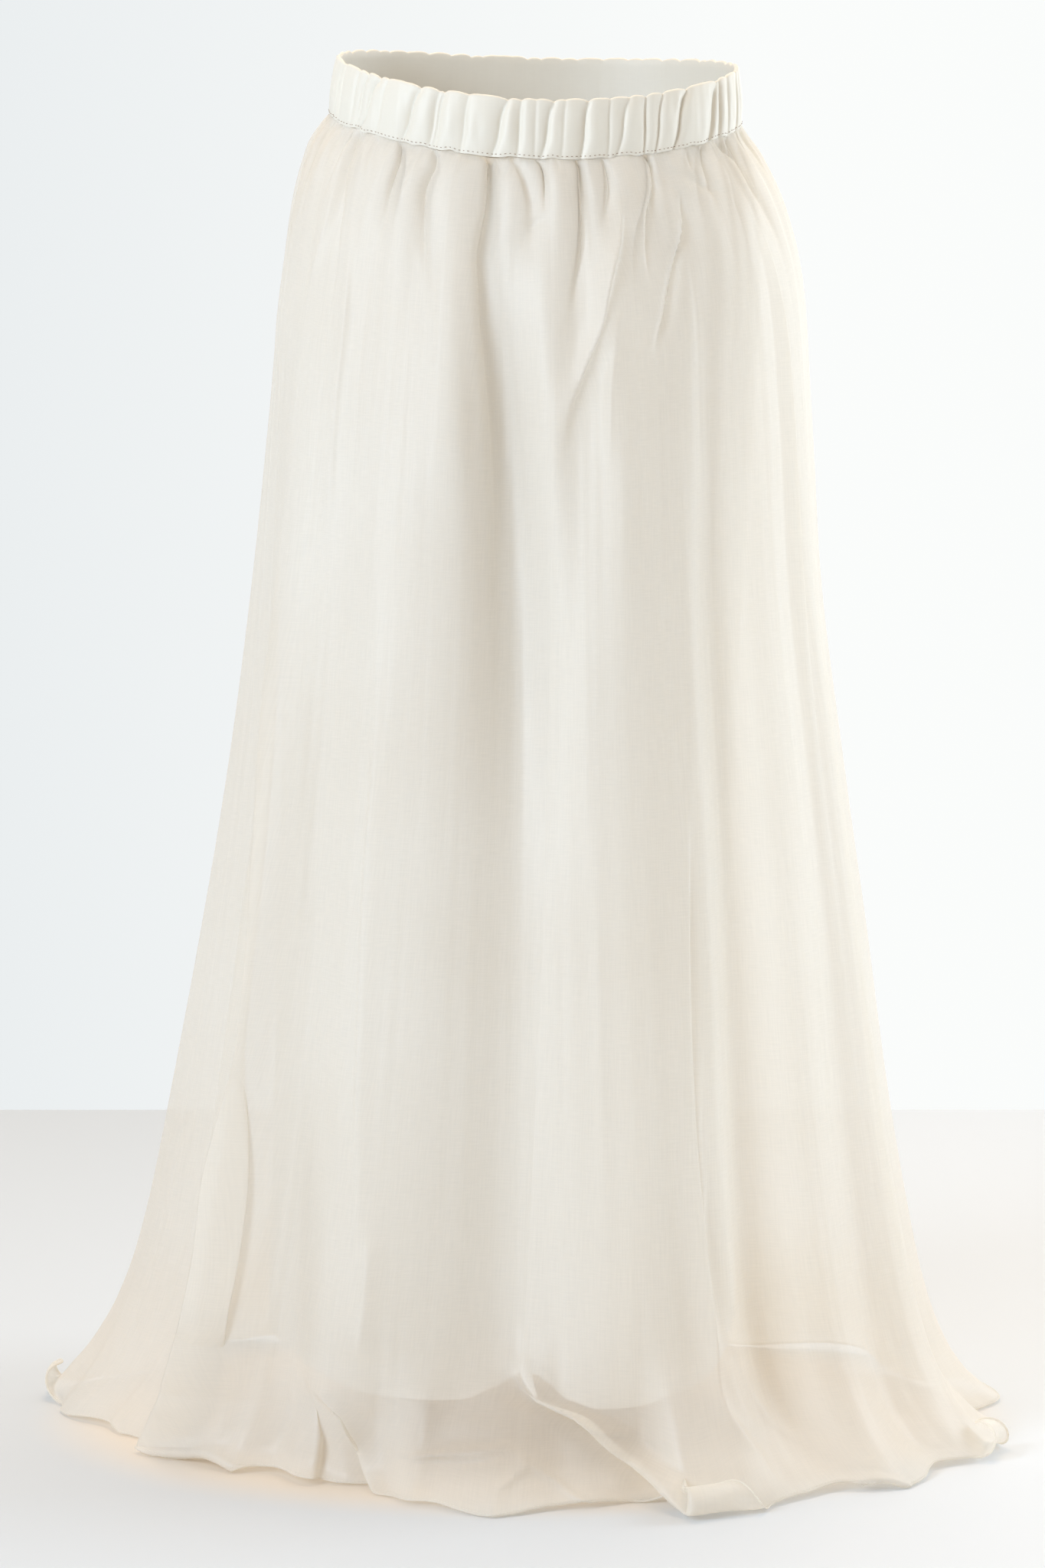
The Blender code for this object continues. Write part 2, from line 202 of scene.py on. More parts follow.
outerSkirt = {
    # cloth, drop, left, right, front, back
    "sections": [
        (0.000, 0.0000, 0.1560, 0.1485, 0.1080, 0.1090), (0.012, 0.0090, 0.1635, 0.1540, 0.1130, 0.1150),
        (0.032, 0.0260, 0.1730, 0.1650, 0.1180, 0.1230), (0.070, 0.0630, 0.1840, 0.1820, 0.1250, 0.1350),
        (0.130, 0.1220, 0.1930, 0.1965, 0.1330, 0.1480), (0.230, 0.2210, 0.2055, 0.2040, 0.1440, 0.1610),
        (0.350, 0.3400, 0.2200, 0.2115, 0.1560, 0.1750), (0.480, 0.4690, 0.2370, 0.2280, 0.1700, 0.1900),
        (0.610, 0.5970, 0.2580, 0.2450, 0.1850, 0.2060), (0.730, 0.7150, 0.2800, 0.2600, 0.2000, 0.2220),
        (0.830, 0.8120, 0.3000, 0.2760, 0.2130, 0.2370), (0.900, 0.8790, 0.3200, 0.2900, 0.2250, 0.2500),
        (0.945, 0.9200, 0.3390, 0.3040, 0.2360, 0.2610), (0.975, 0.9445, 0.3560, 0.3180, 0.2450, 0.2710),
        (0.998, 0.9600, 0.3680, 0.3320, 0.2530, 0.2800), (1.020, 0.9675, 0.3720, 0.3450, 0.2620, 0.2880),
    ],
    # long folds: turn at the waist, the knee and the hem, out, half width, start
    "folds": [
        (-104, -104, -104, 0.012, 10, 0.20), (-76, -75, -73, -0.056, 14, 0.16),
        (-64, -58, -50, 0.022, 9, 0.10),
        (-44, -42, -39, -0.030, 9, 0.20), (-33, -31, -26, 0.012, 7, 0.10), (-11, -5, -7, -0.012, 8, -0.40),
        (-8, -3, -6, -0.028, 17, 0.12), (17, 19, 17, 0.014, 9, 0.05),
        (24, 25, 22, -0.006, 3.5, 0.15), (30, 29, 26, 0.007, 4, 0.10), (39, 38, 35.5, -0.034, 6, 0.00),
        (51, 49, 44, 0.010, 8, 0.15), (60, 58, 56, -0.005, 6, 0.25), (66, 66, 67, 0.015, 9, 0.05),
        (84, 84, 85, -0.015, 10, 0.10), (102, 102, 101, 0.016, 9, 0.12), (117, 117, 118, -0.026, 9, 0.06),
        (131, 132, 133, 0.014, 9, 0.20), (146, 147, 148, -0.022, 8, 0.12), (160, 161, 162, 0.014, 8, 0.08),
        (176, 176, 177, -0.026, 9, 0.03), (191, 191, 192, 0.015, 8, 0.16), (206, 206, 207, -0.024, 9, 0.10),
        (221, 221, 222, 0.013, 8, 0.22), (235, 236, 237, -0.026, 9, 0.08),
    ],
    "kneeLength": 0.40,
    # the hem on the floor: turn, out past the last section
    "lobes": [
        (-104, 0.022), (-94, -0.004), (-79, -0.042), (-66, -0.058), (-50, -0.048), (-42, -0.046),
        (-36, -0.056),
        (-30, -0.040), (-22, -0.050), (-14, -0.012), (-5, 0.012), (4, -0.010), (13, -0.020), (18, 0.020),
        (24, 0.022), (31, 0.006), (37, 0.000), (46, 0.022), (55, 0.004), (66, 0.020), (78, 0.006),
        (88, -0.024), (101, 0.018), (118, -0.022), (133, 0.014), (148, -0.020), (162, 0.018),
        (177, -0.020), (192, 0.016), (207, -0.014), (222, 0.032), (237, -0.008),
    ],
    "lobeStart": 0.86,
    # broad gathers under the waist seam: turn, depth, length
    "gathers": [
        (-55, 0.0045, 0.10), (-46, 0.0025, 0.07), (-39.5, 0.0050, 0.10), (-28.5, 0.0040, 0.10),
        (-14, 0.0050, 0.14), (-3, 0.0030, 0.09), (1, 0.0030, 0.08), (9.5, 0.0045, 0.16),
        (16.8, 0.0030, 0.08), (28, 0.0045, 0.12), (35, 0.0040, 0.08), (48, 0.0045, 0.10),
        (60, 0.0050, 0.10),
    ],
    "gatherWidth": 2.4,
    "otherGathers": 26,
    "otherGatherDepth": 0.0055,
    # sharp creases that start in the waist seam: out, width before and after, path
    "seamCreases": [
        (-0.0050, 2.6, 0.8, [(-57.0, 0), (-54.8, 0.024), (-54.0, 0.040), (-52.0, 0.060), (-51.7, 0.090),
                             (-51.5, 0.125), (-53.5, 0.165)]),
        (-0.0018, 0.9, 0.9, [(-48.4, 0.004), (-47.6, 0.022), (-45.4, 0.044)]),
        (-0.0062, 1.1, 1.3, [(-41.0, 0), (-39.4, 0.020), (-39.5, 0.036), (-38.8, 0.060), (-39.5, 0.085)]),
        (-0.0016, 0.9, 0.9, [(-36.0, 0), (-36.2, 0.010)]),
        (-0.0020, 1.4, 1.0, [(-32.8, 0), (-34.2, 0.032), (-37.0, 0.058)]),
        (-0.0055, 1.2, 1.1, [(-30.0, 0), (-27.8, 0.010), (-27.5, 0.020), (-28.8, 0.036), (-28.0, 0.056),
                             (-26.5, 0.086), (-25.2, 0.130)]),
        (-0.0020, 0.9, 0.9, [(-23.6, 0), (-24.4, 0.008)]),
        (-0.0020, 0.9, 0.9, [(-19.4, 0), (-19.1, 0.009)]),
        (-0.0090, 1.0, 3.4, [(-15.6, 0), (-14.6, 0.024), (-14.4, 0.046), (-15.6, 0.082), (-15.0, 0.108),
                             (-14.2, 0.140), (-13.0, 0.172), (-11.5, 0.220), (-10.0, 0.300),
                             (-9.0, 0.420)]),
        (-0.0034, 0.8, 0.8, [(-12.2, 0), (-10.2, 0.018), (-9.8, 0.024)]),
        (-0.0042, 1.8, 2.2, [(-7.4, 0), (-4.4, 0.020), (-2.6, 0.038), (-2.4, 0.062), (-3.6, 0.090)]),
        (-0.0060, 0.9, 1.1, [(-1.5, 0), (-0.2, 0.012), (0.6, 0.032), (1.2, 0.054)]),
        (-0.0022, 0.8, 0.8, [(4.2, 0), (4.8, 0.012)]),
        (-0.0085, 0.8, 2.0, [(9.4, 0), (9.1, 0.024), (8.9, 0.056), (8.4, 0.078), (7.0, 0.110),
                             (6.4, 0.140)]),
        (-0.0045, 1.0, 1.1, [(17.2, 0), (17.4, 0.024), (15.6, 0.050), (14.4, 0.070)]),
        (-0.0100, 0.7, 2.6, [(29.6, 0), (28.8, 0.028), (24.8, 0.052), (23.4, 0.078), (23.4, 0.100),
                             (23.8, 0.120)]),
        (-0.0030, 0.8, 0.8, [(31.8, 0), (31.2, 0.014), (32.0, 0.024)]),
        (-0.0020, 0.9, 0.9, [(37.6, 0), (38.2, 0.009)]),
        (-0.0030, 1.0, 1.0, [(45.5, 0), (42.5, 0.030)]),
        (-0.0050, 1.4, 1.6, [(51.5, 0), (48.5, 0.026), (47.3, 0.060)]),
        (-0.0046, 1.3, 1.3, [(57.6, 0), (61.2, 0.012), (64.1, 0.024), (66.0, 0.043), (66.0, 0.080)]),
    ],
    "otherSeamCreases": 46,
    # creases with both ends in the cloth
    "openCreases": [
        (0.0085, 2.8, 1.5, [(20.0, 0.020), (18.2, 0.062), (14.0, 0.112), (11.5, 0.146), (8.2, 0.178),
                            (5.2, 0.208), (3.0, 0.250)]),
        (0.0030, 1.6, 1.2, [(18.0, 0.100), (15.4, 0.145), (13.8, 0.184), (13.0, 0.260)]),
        (-0.0080, 0.9, 2.4, [(38.0, 0.030), (35.2, 0.060), (31.4, 0.082), (28.6, 0.106), (26.6, 0.122),
                             (24.8, 0.140), (22.6, 0.170)]),
        (-0.0022, 2.0, 2.0, [(1.0, 0.048), (-7.0, 0.076)]),
        (0.0016, 1.2, 1.2, [(-10.0, 0.090), (-5.0, 0.076), (-1.2, 0.066), (1.6, 0.052)]),
        (-0.0022, 2.4, 2.4, [(37.0, 0.018), (47.0, 0.040), (54.0, 0.050)]),
        (0.0030, 1.8, 1.6, [(-47.2, 0.060), (-47.0, 0.098), (-46.2, 0.140), (-46.8, 0.224),
                            (-46.8, 0.330)]),
        (0.0020, 1.6, 1.6, [(-57.2, 0.035), (-57.0, 0.068), (-58.8, 0.094), (-61.2, 0.150)]),
        (0.0016, 1.6, 2.6, [(-33.5, 0.260), (-30.0, 0.470), (-30.8, 0.580), (-27.0, 0.780)]),
    ],
    # soft hollows and rises that fade at both ends: out, half width at each end, path
    "swells": [
        (-0.019, 4.2, 9.0, [(-11.0, 0.030), (-9.5, 0.100), (-8.0, 0.200), (-6.0, 0.300), (-4.5, 0.430),
                            (-4.0, 0.620)]),
        (0.006, 4.0, 7.0, [(-21.0, 0.020), (-19.5, 0.080), (-18.5, 0.180), (-18.0, 0.340)]),
        (0.008, 5.0, 6.0, [(20.0, 0.030), (18.0, 0.110), (17.0, 0.240), (17.0, 0.460)]),
        (0.004, 3.0, 5.0, [(2.0, 0.040), (1.0, 0.110), (2.0, 0.240), (3.0, 0.380)]),
    ],
    # laps, where the cloth doubles back on itself: side shift, out, half width, path
    "laps": [
        (0.0120, 0.0070, 9.0, [(-63, 0.22), (-59, 0.42), (-56, 0.50), (-53, 0.62), (-51, 0.76),
                               (-50, 0.88), (-54, 0.95), (-58, 1.03)]),
        (0.0220, 0.0070, 8.5, [(-52, 0.66), (-51, 0.76), (-50, 0.88), (-53, 0.94), (-56, 0.975),
                               (-58, 1.03)]),
        (0.0050, -0.0030, 5.5, [(56, 0.015), (61, 0.06), (63, 0.15), (63, 0.30), (62, 0.50)]),
        (0.0050, -0.0040, 5.0, [(28, 0.42), (25, 0.62), (24.5, 0.78), (25.5, 0.86), (28, 0.92),
                                (31, 0.955), (32, 0.985)]),
        (0.0025, 0.0020, 4.0, [(-31, 0.40), (-30, 0.60), (-28, 0.74), (-26, 0.86)]),
        (0.0150, 0.0085, 6.0, [(-4, 0.895), (-1, 0.922), (5.2, 0.936), (9.2, 0.958), (13.8, 0.984),
                               (17, 1.03)]),
        (0.0045, -0.0038, 3.6, [(-34, 0.905), (-31, 0.935), (-28.5, 0.970), (-28, 1.03)]),
        (0.0060, 0.0060, 3.6, [(-31, 0.915), (-26, 0.945), (-22.5, 0.980), (-20, 1.03)]),
        (0.0080, -0.0060, 8.0, [(107, 0.30), (109, 0.60), (110, 1.03)]),
        (0.0070, 0.0060, 7.0, [(154, 0.40), (155, 0.70), (153, 1.03)]),
        (0.0080, -0.0060, 8.0, [(199, 0.25), (199, 0.60), (201, 1.03)]),
        (0.0060, 0.0050, 7.0, [(228, 0.45), (229, 0.75), (230, 1.03)]),
    ],
    # curls of the hem: turn, half width, length of cloth in it, radius (below zero it tucks under) and
    # the length added for it
    "curls": [
        (19.0, 8.0, 0.046, 0.0100, 0.040), (67.0, 6.0, 0.036, 0.0090, 0.020),
        (-103.0, 7.0, 0.026, 0.0070, 0.0),
        (-47.0, 9.0, 0.030, -0.0040, 0.030), (43.0, 4.0, 0.020, -0.0024, 0.020),
        (124.0, 7.0, 0.028, 0.0080, 0.0),
        (171.0, 9.0, 0.030, -0.0028, 0.0), (212.0, 7.0, 0.024, 0.0075, 0.0),
    ],
    "curlFrom": 0.90,
    # the hem lifts off the floor between where it lies: turn, lift
    "lifts": [
        (-110, 0.002), (-92, 0.000), (-84, 0.004), (-70, 0.000), (-58, 0.003), (-30, 0.005), (-25, 0.001),
        (-20, 0.000), (-12, 0.003), (-6, 0.000), (0, 0.003), (6, 0.004), (12, 0.000), (24, 0.000),
        (30, 0.004),
        (38, 0.006), (47, 0.001), (55, 0.005), (72, 0.001), (82, 0.006), (95, 0.001), (108, 0.005),
        (120, 0.001), (138, 0.005), (150, 0.001), (163, 0.005), (180, 0.001), (192, 0.006), (205, 0.000),
        (222, 0.001), (236, 0.001),
    ],
    # short ridges and dents near the hem
    "hemCreases": [
        (-0.0050, 1.2, 3.0, [(-35.0, 0.905), (-31.8, 0.936), (-28.8, 0.978), (-29.0, 1.030)]),
        (0.0060, 2.0, 1.0, [(-34.0, 0.912), (-28.8, 0.932), (-24.5, 0.956), (-22.8, 0.982),
                            (-21.0, 1.030)]),
        (0.0050, 2.4, 2.0, [(-4.5, 0.952), (-9.8, 0.964), (-15.5, 0.976)]),
        (0.0050, 1.2, 1.2, [(-5.0, 0.948), (-2.0, 0.968), (-4.8, 0.990), (-4.8, 1.040)]),
        (0.0040, 1.2, 1.0, [(-2.0, 0.964), (2.0, 0.988), (6.2, 1.030)]),
        (0.0030, 2.0, 2.0, [(4.0, 0.930), (9.8, 0.946), (16.2, 0.956)]),
        (0.0045, 1.2, 1.6, [(-24.2, 0.800), (-24.0, 0.862), (-24.2, 0.900)]),
        (0.0050, 2.4, 0.9, [(27.0, 0.620), (26.5, 0.742), (25.0, 0.834), (24.5, 0.878), (24.8, 0.924),
                            (28.5, 0.966), (30.0, 1.040)]),
        (0.0030, 1.5, 1.5, [(27.0, 0.852), (29.5, 0.902), (33.0, 0.946), (37.2, 0.980)]),
    ],
    "crumple": 0.0016,
    "puckerDepth": 0.0013,
    "puckerKnots": 230,
    "puckerLength": 0.016,
    "streakDepth": 0.0005,
    # unevenness: strength, knots round, row length, seed
    "streaks": [(1.0, 150, 0.35, 4), (0.6, 300, 0.22, 5)],
    "crumples": [(1.0, 70, 0.030, 6), (0.5, 150, 0.016, 7)],
    "grooveDepth": 0.0002,   # the pull of the stitches along a panel seam
    "grooveWidth": 0.45,
    "columnStep": 0.38,      # degrees between columns on the fronts
    "backColumnStep": 0.52,
    "rowStep": 0.0060,
    "closeRowStep": 0.0022,  # in the gathers and on the hem
    "gatherRows": 0.060,
    "hemRows": 0.150,
    "hemRoll": 0.0008,
    # the cloth lies in more layers along the floor, apart from a bare stretch at the front; from and rim
    # are the lengths where that starts and is full
    "heaped": {
        "layers": 21.0, "from": (0.84, 0.955), "rim": (1.02, 0.97), "bareX": -0.004, "bareHalf": 0.086,
    },
}


def spreadTurns(count, rows, seed, jitter):
    # turns for what repeats round the sides and the back, where no row is listed
    pick = np.random.default_rng(seed)
    first = max(rows)
    step = (360.0 - (first - min(rows))) / (count + 1)
    return [(first + step * (number + 1 + pick.uniform(-jitter, jitter)), pick.uniform(0.55, 1.0),
             pick.uniform(-1, 1)) for number in range(count)]


def otherSeamCreases():
    rows = [row[3][0][0] for row in outerSkirt["seamCreases"]]
    creases = []
    for turn, strength, lean in spreadTurns(outerSkirt["otherSeamCreases"], rows, 21, 0.4):
        length = 0.02 + 0.13 * strength ** 3
        path = [(turn, 0), (turn + 0.8 * lean, 0.3 * length), (turn + 2.0 * lean, length)]
        creases.append((-0.0055 * strength, 1.1 + 0.5 * lean, 1.2, path))
    return creases


def seamCreaseShift(turn, cloth):
    grip = 0.25 + 0.75 * smoothStep(0.0, 0.010, cloth)
    rows = outerSkirt["seamCreases"] + otherSeamCreases()
    depth, lean = creaseShift(rows, turn, cloth, 0, 0.75)
    return depth * grip, lean * grip


def gatherOut(turn, cloth):
    rows = list(outerSkirt["gathers"])
    for place, strength, lean in spreadTurns(outerSkirt["otherGathers"], [row[0] for row in rows], 11, 0.25):
        rows.append((place, outerSkirt["otherGatherDepth"] * strength, 0.07 + 0.12 * strength ** 2))
    total = np.zeros_like(turn)
    for place, depth, length in rows:
        width = outerSkirt["gatherWidth"]
        shape = hump(apart(turn, place), width * (1 + cloth / 0.25)) - 0.25
        shape = shape * smoothStep(4 * width, 2 * width, np.abs(apart(turn, place)))
        total -= depth * shape * np.exp(-(cloth / length) ** 1.5)
    return total * (0.35 + 0.65 * smoothStep(0.0, 0.03, cloth))


def lapShift(turn, cloth):
    side = np.zeros_like(turn)
    out = np.zeros_like(turn)
    for sideways, outward, halfWidth, path in outerSkirt["laps"]:
        lengths = [point[1] for point in path]
        place = np.clip(cloth, lengths[0], lengths[-1])
        centre = curveThrough(lengths, [point[0] for point in path], place)
        share = (cloth - lengths[0]) / (lengths[-1] - lengths[0])
        strength = smoothStep(0.0, 0.35, share)
        if lengths[-1] < outerSkirt["sections"][-1][0]:
            strength = strength * (1 - smoothStep(0.65, 1.0, share))
        distance = np.clip(apart(turn, centre) / halfWidth, -1, 1)
        wave = np.sin(np.pi * distance) * np.cos(0.5 * np.pi * distance) ** 2 * strength
        side -= 1.3 * sideways * wave
        out += 1.3 * outward * wave
    return side, out


def swellOut(turn, cloth):
    total = np.zeros_like(turn)
    for out, upper, lower, path in outerSkirt["swells"]:
        lengths = [point[1] for point in path]
        share = (cloth - lengths[0]) / (lengths[-1] - lengths[0])
        place = np.clip(cloth, lengths[0], lengths[-1])
        centre = curveThrough(lengths, [point[0] for point in path], place)
        width = upper + (lower - upper) * np.clip(share, 0, 1)
        fade = smoothStep(0.0, 0.4, share) * (1 - smoothStep(0.55, 1.0, share))
        total += out * hump(apart(turn, centre), width) * fade
    return total


def curlAt(turn, cloth):
    # the length left before the curl, and how far the curl moves the cloth out and up
    out = np.zeros_like(turn)
    rise = np.zeros_like(turn)
    length = outerSkirt["sections"][-1][0]
    full = cloth
    reaches = [smoothStep(1.0, 0.0, np.abs(apart(turn, row[0])) / row[1]) for row in outerSkirt["curls"]]
    for reach, row in zip(reaches, outerSkirt["curls"]):
        full = full + row[4] * reach * smoothStep(outerSkirt["curlFrom"], length, cloth)
    kept = full
    for reach, (*_, curled, radius, added) in zip(reaches, outerSkirt["curls"]):
        start = length + (added - curled) * reach
        excess = np.maximum(0.0, full - start) * (reach > 0)
        kept = np.where(reach > 0, np.minimum(kept, start), kept)
        if radius > 0:
            angle = excess / radius
            out += radius * np.sin(angle)
            rise += radius * (1 - np.cos(angle))
        else:
            angle = np.minimum(np.pi, excess / -radius)
            straight = np.maximum(0.0, excess + np.pi * radius)
            out += -radius * np.sin(angle) - straight
            rise += radius * (1 - np.cos(angle))
            rise -= 2 * radius * reach * smoothStep(start - 0.05, start, full)
    return kept, out, rise


def seamGroove(turn, share):
    groove = np.zeros_like(turn)
    for edge in (cut["centreSeam"], cut["rightSeam"], cut["leftSeam"]):
        distance = apart(turn, seamTurn(edge, share))
        groove += outerSkirt["grooveDepth"] * hump(distance, outerSkirt["grooveWidth"])
    return groove


def outerShape(turn, cloth):
    length = outerSkirt["sections"][-1][0]
    kept, curlOut, curlRise = curlAt(turn, cloth)
    drop, *size = sizeAt(outerSkirt["sections"], kept)
    onFloor = smoothStep(outerSkirt["lobeStart"], length, kept)
    side, out = lapShift(turn, kept)
    out += foldOut(outerSkirt["folds"], turn, kept, length) * (1 - onFloor)
    out += ringTable(outerSkirt["lobes"], turn) * onFloor
    out += gatherOut(turn, kept) + swellOut(turn, kept)
    creaseDepth, creaseLean = seamCreaseShift(turn, kept)
    openRows = outerSkirt["openCreases"] + outerSkirt["hemCreases"]
    openDepth, openLean = creaseShift(openRows, turn, kept, 0.3, 0.35)
    out += creaseDepth + openDepth
    side += creaseLean + openLean
    pucker = ringNoise(turn, kept, outerSkirt["puckerKnots"], 0.05, 3)
    out += outerSkirt["puckerDepth"] * pucker * np.exp(-kept / outerSkirt["puckerLength"])
    out -= seamGroove(turn, kept / length)
    streak = layeredNoise(turn, kept, outerSkirt["streaks"])
    out += outerSkirt["streakDepth"] * streak * smoothStep(0.01, 0.15, kept)
    crumple = layeredNoise(turn, kept, outerSkirt["crumples"])
    nearHem = smoothStep(0.93, 1.0, kept)
    out += outerSkirt["crumple"] * crumple * nearHem
    lift = ringTable(outerSkirt["lifts"], turn) * nearHem + curlRise
    height = np.maximum(levelAt(turn, kept, drop) + lift, -cut["floorDrop"] + 0.0012)
    return ringPoint(size, turn, out + curlOut, side, height)


def rowLengths(piece, length):
    top = np.linspace(0, piece["gatherRows"], round(piece["gatherRows"] / piece["closeRowStep"]) + 1)
    middle = length - piece["hemRows"] - piece["gatherRows"]
    centre = piece["gatherRows"] + np.linspace(0, middle, round(middle / piece["rowStep"]) + 1)
    low = np.linspace(length - piece["hemRows"], length, round(piece["hemRows"] / piece["closeRowStep"]) + 1)
    return np.concatenate([top, centre[1:], low[1:]])


def gridPiece(name, points, clothMap, material):
    rows, columns = points.shape[:2]
    index = np.arange(rows * columns).reshape(rows, columns)
    quads = np.stack([index[:-1, :-1], index[1:, :-1], index[1:, 1:], index[:-1, 1:]], axis=-1)
    mesh = bpy.data.meshes.new(name)
    mesh.from_pydata(points.reshape(-1, 3).tolist(), [], quads.reshape(-1, 4).tolist())
    layer = mesh.uv_layers.new(name="cloth")
    corners = np.empty(len(mesh.loops), np.int32)
    mesh.loops.foreach_get("vertex_index", corners)
    layer.data.foreach_set("uv", clothMap.reshape(-1, 2)[corners].ravel())
    mesh.shade_smooth()
    mesh.materials.append(material)
    obj = bpy.data.objects.new(name, mesh)
    bpy.context.scene.collection.objects.link(obj)
    return obj


def clothUv(points, lengths):
    # metres across, measured along the middle row, and metres down
    middle = points[len(points) // 2]
    steps = np.linalg.norm(np.diff(middle, axis=0), axis=-1)
    across = np.concatenate([[0.0], np.cumsum(steps)])
    return np.stack(np.broadcast_arrays(across[None, :], lengths[:, None]), axis=-1)


def rolledHem(points, radius):
    # a narrow roll turned under along the last row
    edge = points[-1]
    down = edge - points[-2]
    down = down / np.linalg.norm(down, axis=-1, keepdims=True)
    along = np.gradient(edge, axis=0)
    outward = np.cross(along, -down)
    outward = outward / np.linalg.norm(outward, axis=-1, keepdims=True)
    rows = []
    for angle in np.radians([45, 90, 135, 180, 225, 270, 315]):
        rows.append(edge + outward * radius * (math.cos(angle) - 1) + down * radius * math.sin(angle))
    return np.concatenate([points, np.array(rows)])


def makePanel(name, shape, piece, length, edges, step, material):
    lengths = rowLengths(piece, length)
    turnGrid, clothGrid = panelGrid(edges, step, lengths, length)
    points = rolledHem(shape(turnGrid, clothGrid), piece["hemRoll"])
    extra = len(points) - len(lengths)
    lengths = np.concatenate([lengths, length + piece["hemRoll"] * np.arange(1, extra + 1)])
    panel = gridPiece(name, points, clothUv(points, lengths), material)
    markLayers(panel, points, lengths, piece.get("heaped"))
    return panel


def markLayers(panel, points, lengths, heaped):
    # layers of cloth hidden behind this one: a seam allowance under the waist seam and beside the panel's
    # first edge, and the heaped cloth on the floor
    steps = np.linalg.norm(np.diff(points, axis=1), axis=-1)
    across = np.concatenate([np.zeros((len(points), 1)), np.cumsum(steps, axis=1)], axis=1)
    layers = ((across < cut["seamAllowance"]) | (lengths[:, None] < cut["waistAllowance"])).astype(float)
    if heaped:
        fromMiddle = np.abs(points[..., 0] - heaped["bareX"]) / heaped["bareHalf"]
        bare = smoothStep(1.15, 0.85, fromMiddle) * (points[..., 1] < 0)
        bare = bare * smoothStep(*heaped["rim"], lengths)[:, None]
        layers += heaped["layers"] * smoothStep(*heaped["from"], lengths)[:, None] * (1 - bare)
    layer = panel.data.attributes.new("layers", "FLOAT", "POINT")
    layer.data.foreach_set("value", layers.astype(np.float32).ravel())


def turnsBetween(edges, step):
    return np.linspace(edges[0], edges[1], round((edges[1] - edges[0]) / step) + 1)


def seamTurn(edge, share):
    # where a seam runs at this share of the way down
    if edge != cut["centreSeam"]:
        return edge + 0 * share
    return edge + (cut["centreSeamHem"] - edge) * smoothStep(0.25, 1.1, share)


def panelGrid(edges, step, lengths, length):
    share = (lengths / length)[:, None]
    across = np.linspace(0, 1, round((edges[1] - edges[0]) / step) + 1)[None, :]
    start, end = seamTurn(edges[0], share), seamTurn(edges[1], share)
    turnGrid = start + (end - start) * across
    return turnGrid, lengths[:, None] + 0 * across


# The lining

lining = {
    # cloth, drop, left, right, front, back
    "sections": [
        (0.000, 0.0000, 0.1534, 0.1459, 0.1054, 0.1064), (0.015, 0.0130, 0.1600, 0.1495, 0.1080, 0.1115),
        (0.045, 0.0420, 0.1680, 0.1580, 0.1105, 0.1200), (0.110, 0.1060, 0.1780, 0.1640, 0.1170, 0.1330),
        (0.230, 0.2250, 0.1860, 0.1590, 0.1300, 0.1430), (0.420, 0.4150, 0.1920, 0.1500, 0.1430, 0.1510),
        (0.650, 0.6440, 0.1990, 0.1455, 0.1570, 0.1620), (0.880, 0.8730, 0.2060, 0.1500, 0.1690, 0.1730),
    ],
    "folds": [
        (-70, -68, -66, -0.008, 11, 0.15), (-13, -5, -6, -0.016, 9, -0.40), (-8, -3, -6, -0.028, 17, 0.12),
        (38, 35, 30, -0.010, 9, 0.10), (84, 82, 80, -0.008, 10, 0.20), (130, 131, 132, -0.010, 11, 0.12),
        (176, 175, 174, -0.010, 10, 0.10), (222, 223, 224, -0.010, 11, 0.15),
    ],
    # turn, height of the hem over the floor
    "hem": [
        (-88, 0.076), (-60, 0.062), (-35, 0.052), (-17, 0.050), (-11, 0.056), (-7, 0.062), (-5, 0.066),
        (-2, 0.066), (2, 0.062), (9, 0.052), (16, 0.047), (30, 0.044), (45, 0.052), (73, 0.068),
        (110, 0.084), (150, 0.080), (185, 0.077), (230, 0.082),
    ],
    "rippleDepth": 0.0012,
    "columnStep": 0.5,
    "rowStep": 0.009,
    "closeRowStep": 0.003,
    "gatherRows": 0.06,
    "hemRows": 0.06,
    "hemRoll": 0.0005,
}


def liningShape(turn, cloth):
    full = lining["sections"][-1][0]
    hemDrop = cut["floorDrop"] - cut["bandHeight"] / 2 - ringTable(lining["hem"], turn)
    clothHere = cloth * (hemDrop + full - lining["sections"][-1][1]) / full
    drop, *size = sizeAt(lining["sections"], np.minimum(full, clothHere))
    extra = np.maximum(0.0, clothHere - full)
    out = foldOut(lining["folds"], turn, cloth, full) + gatherOut(turn, cloth)
    ripple = ringNoise(turn, cloth, 60, 0.25, 8) * smoothStep(0.02, 0.2, cloth)
    out += lining["rippleDepth"] * ripple + swellOut(turn, cloth)
    depth, lean = seamCreaseShift(turn, cloth)
    return ringPoint(size, turn, out + depth, lean, levelAt(turn, cloth, drop + extra))


# The elastic casing

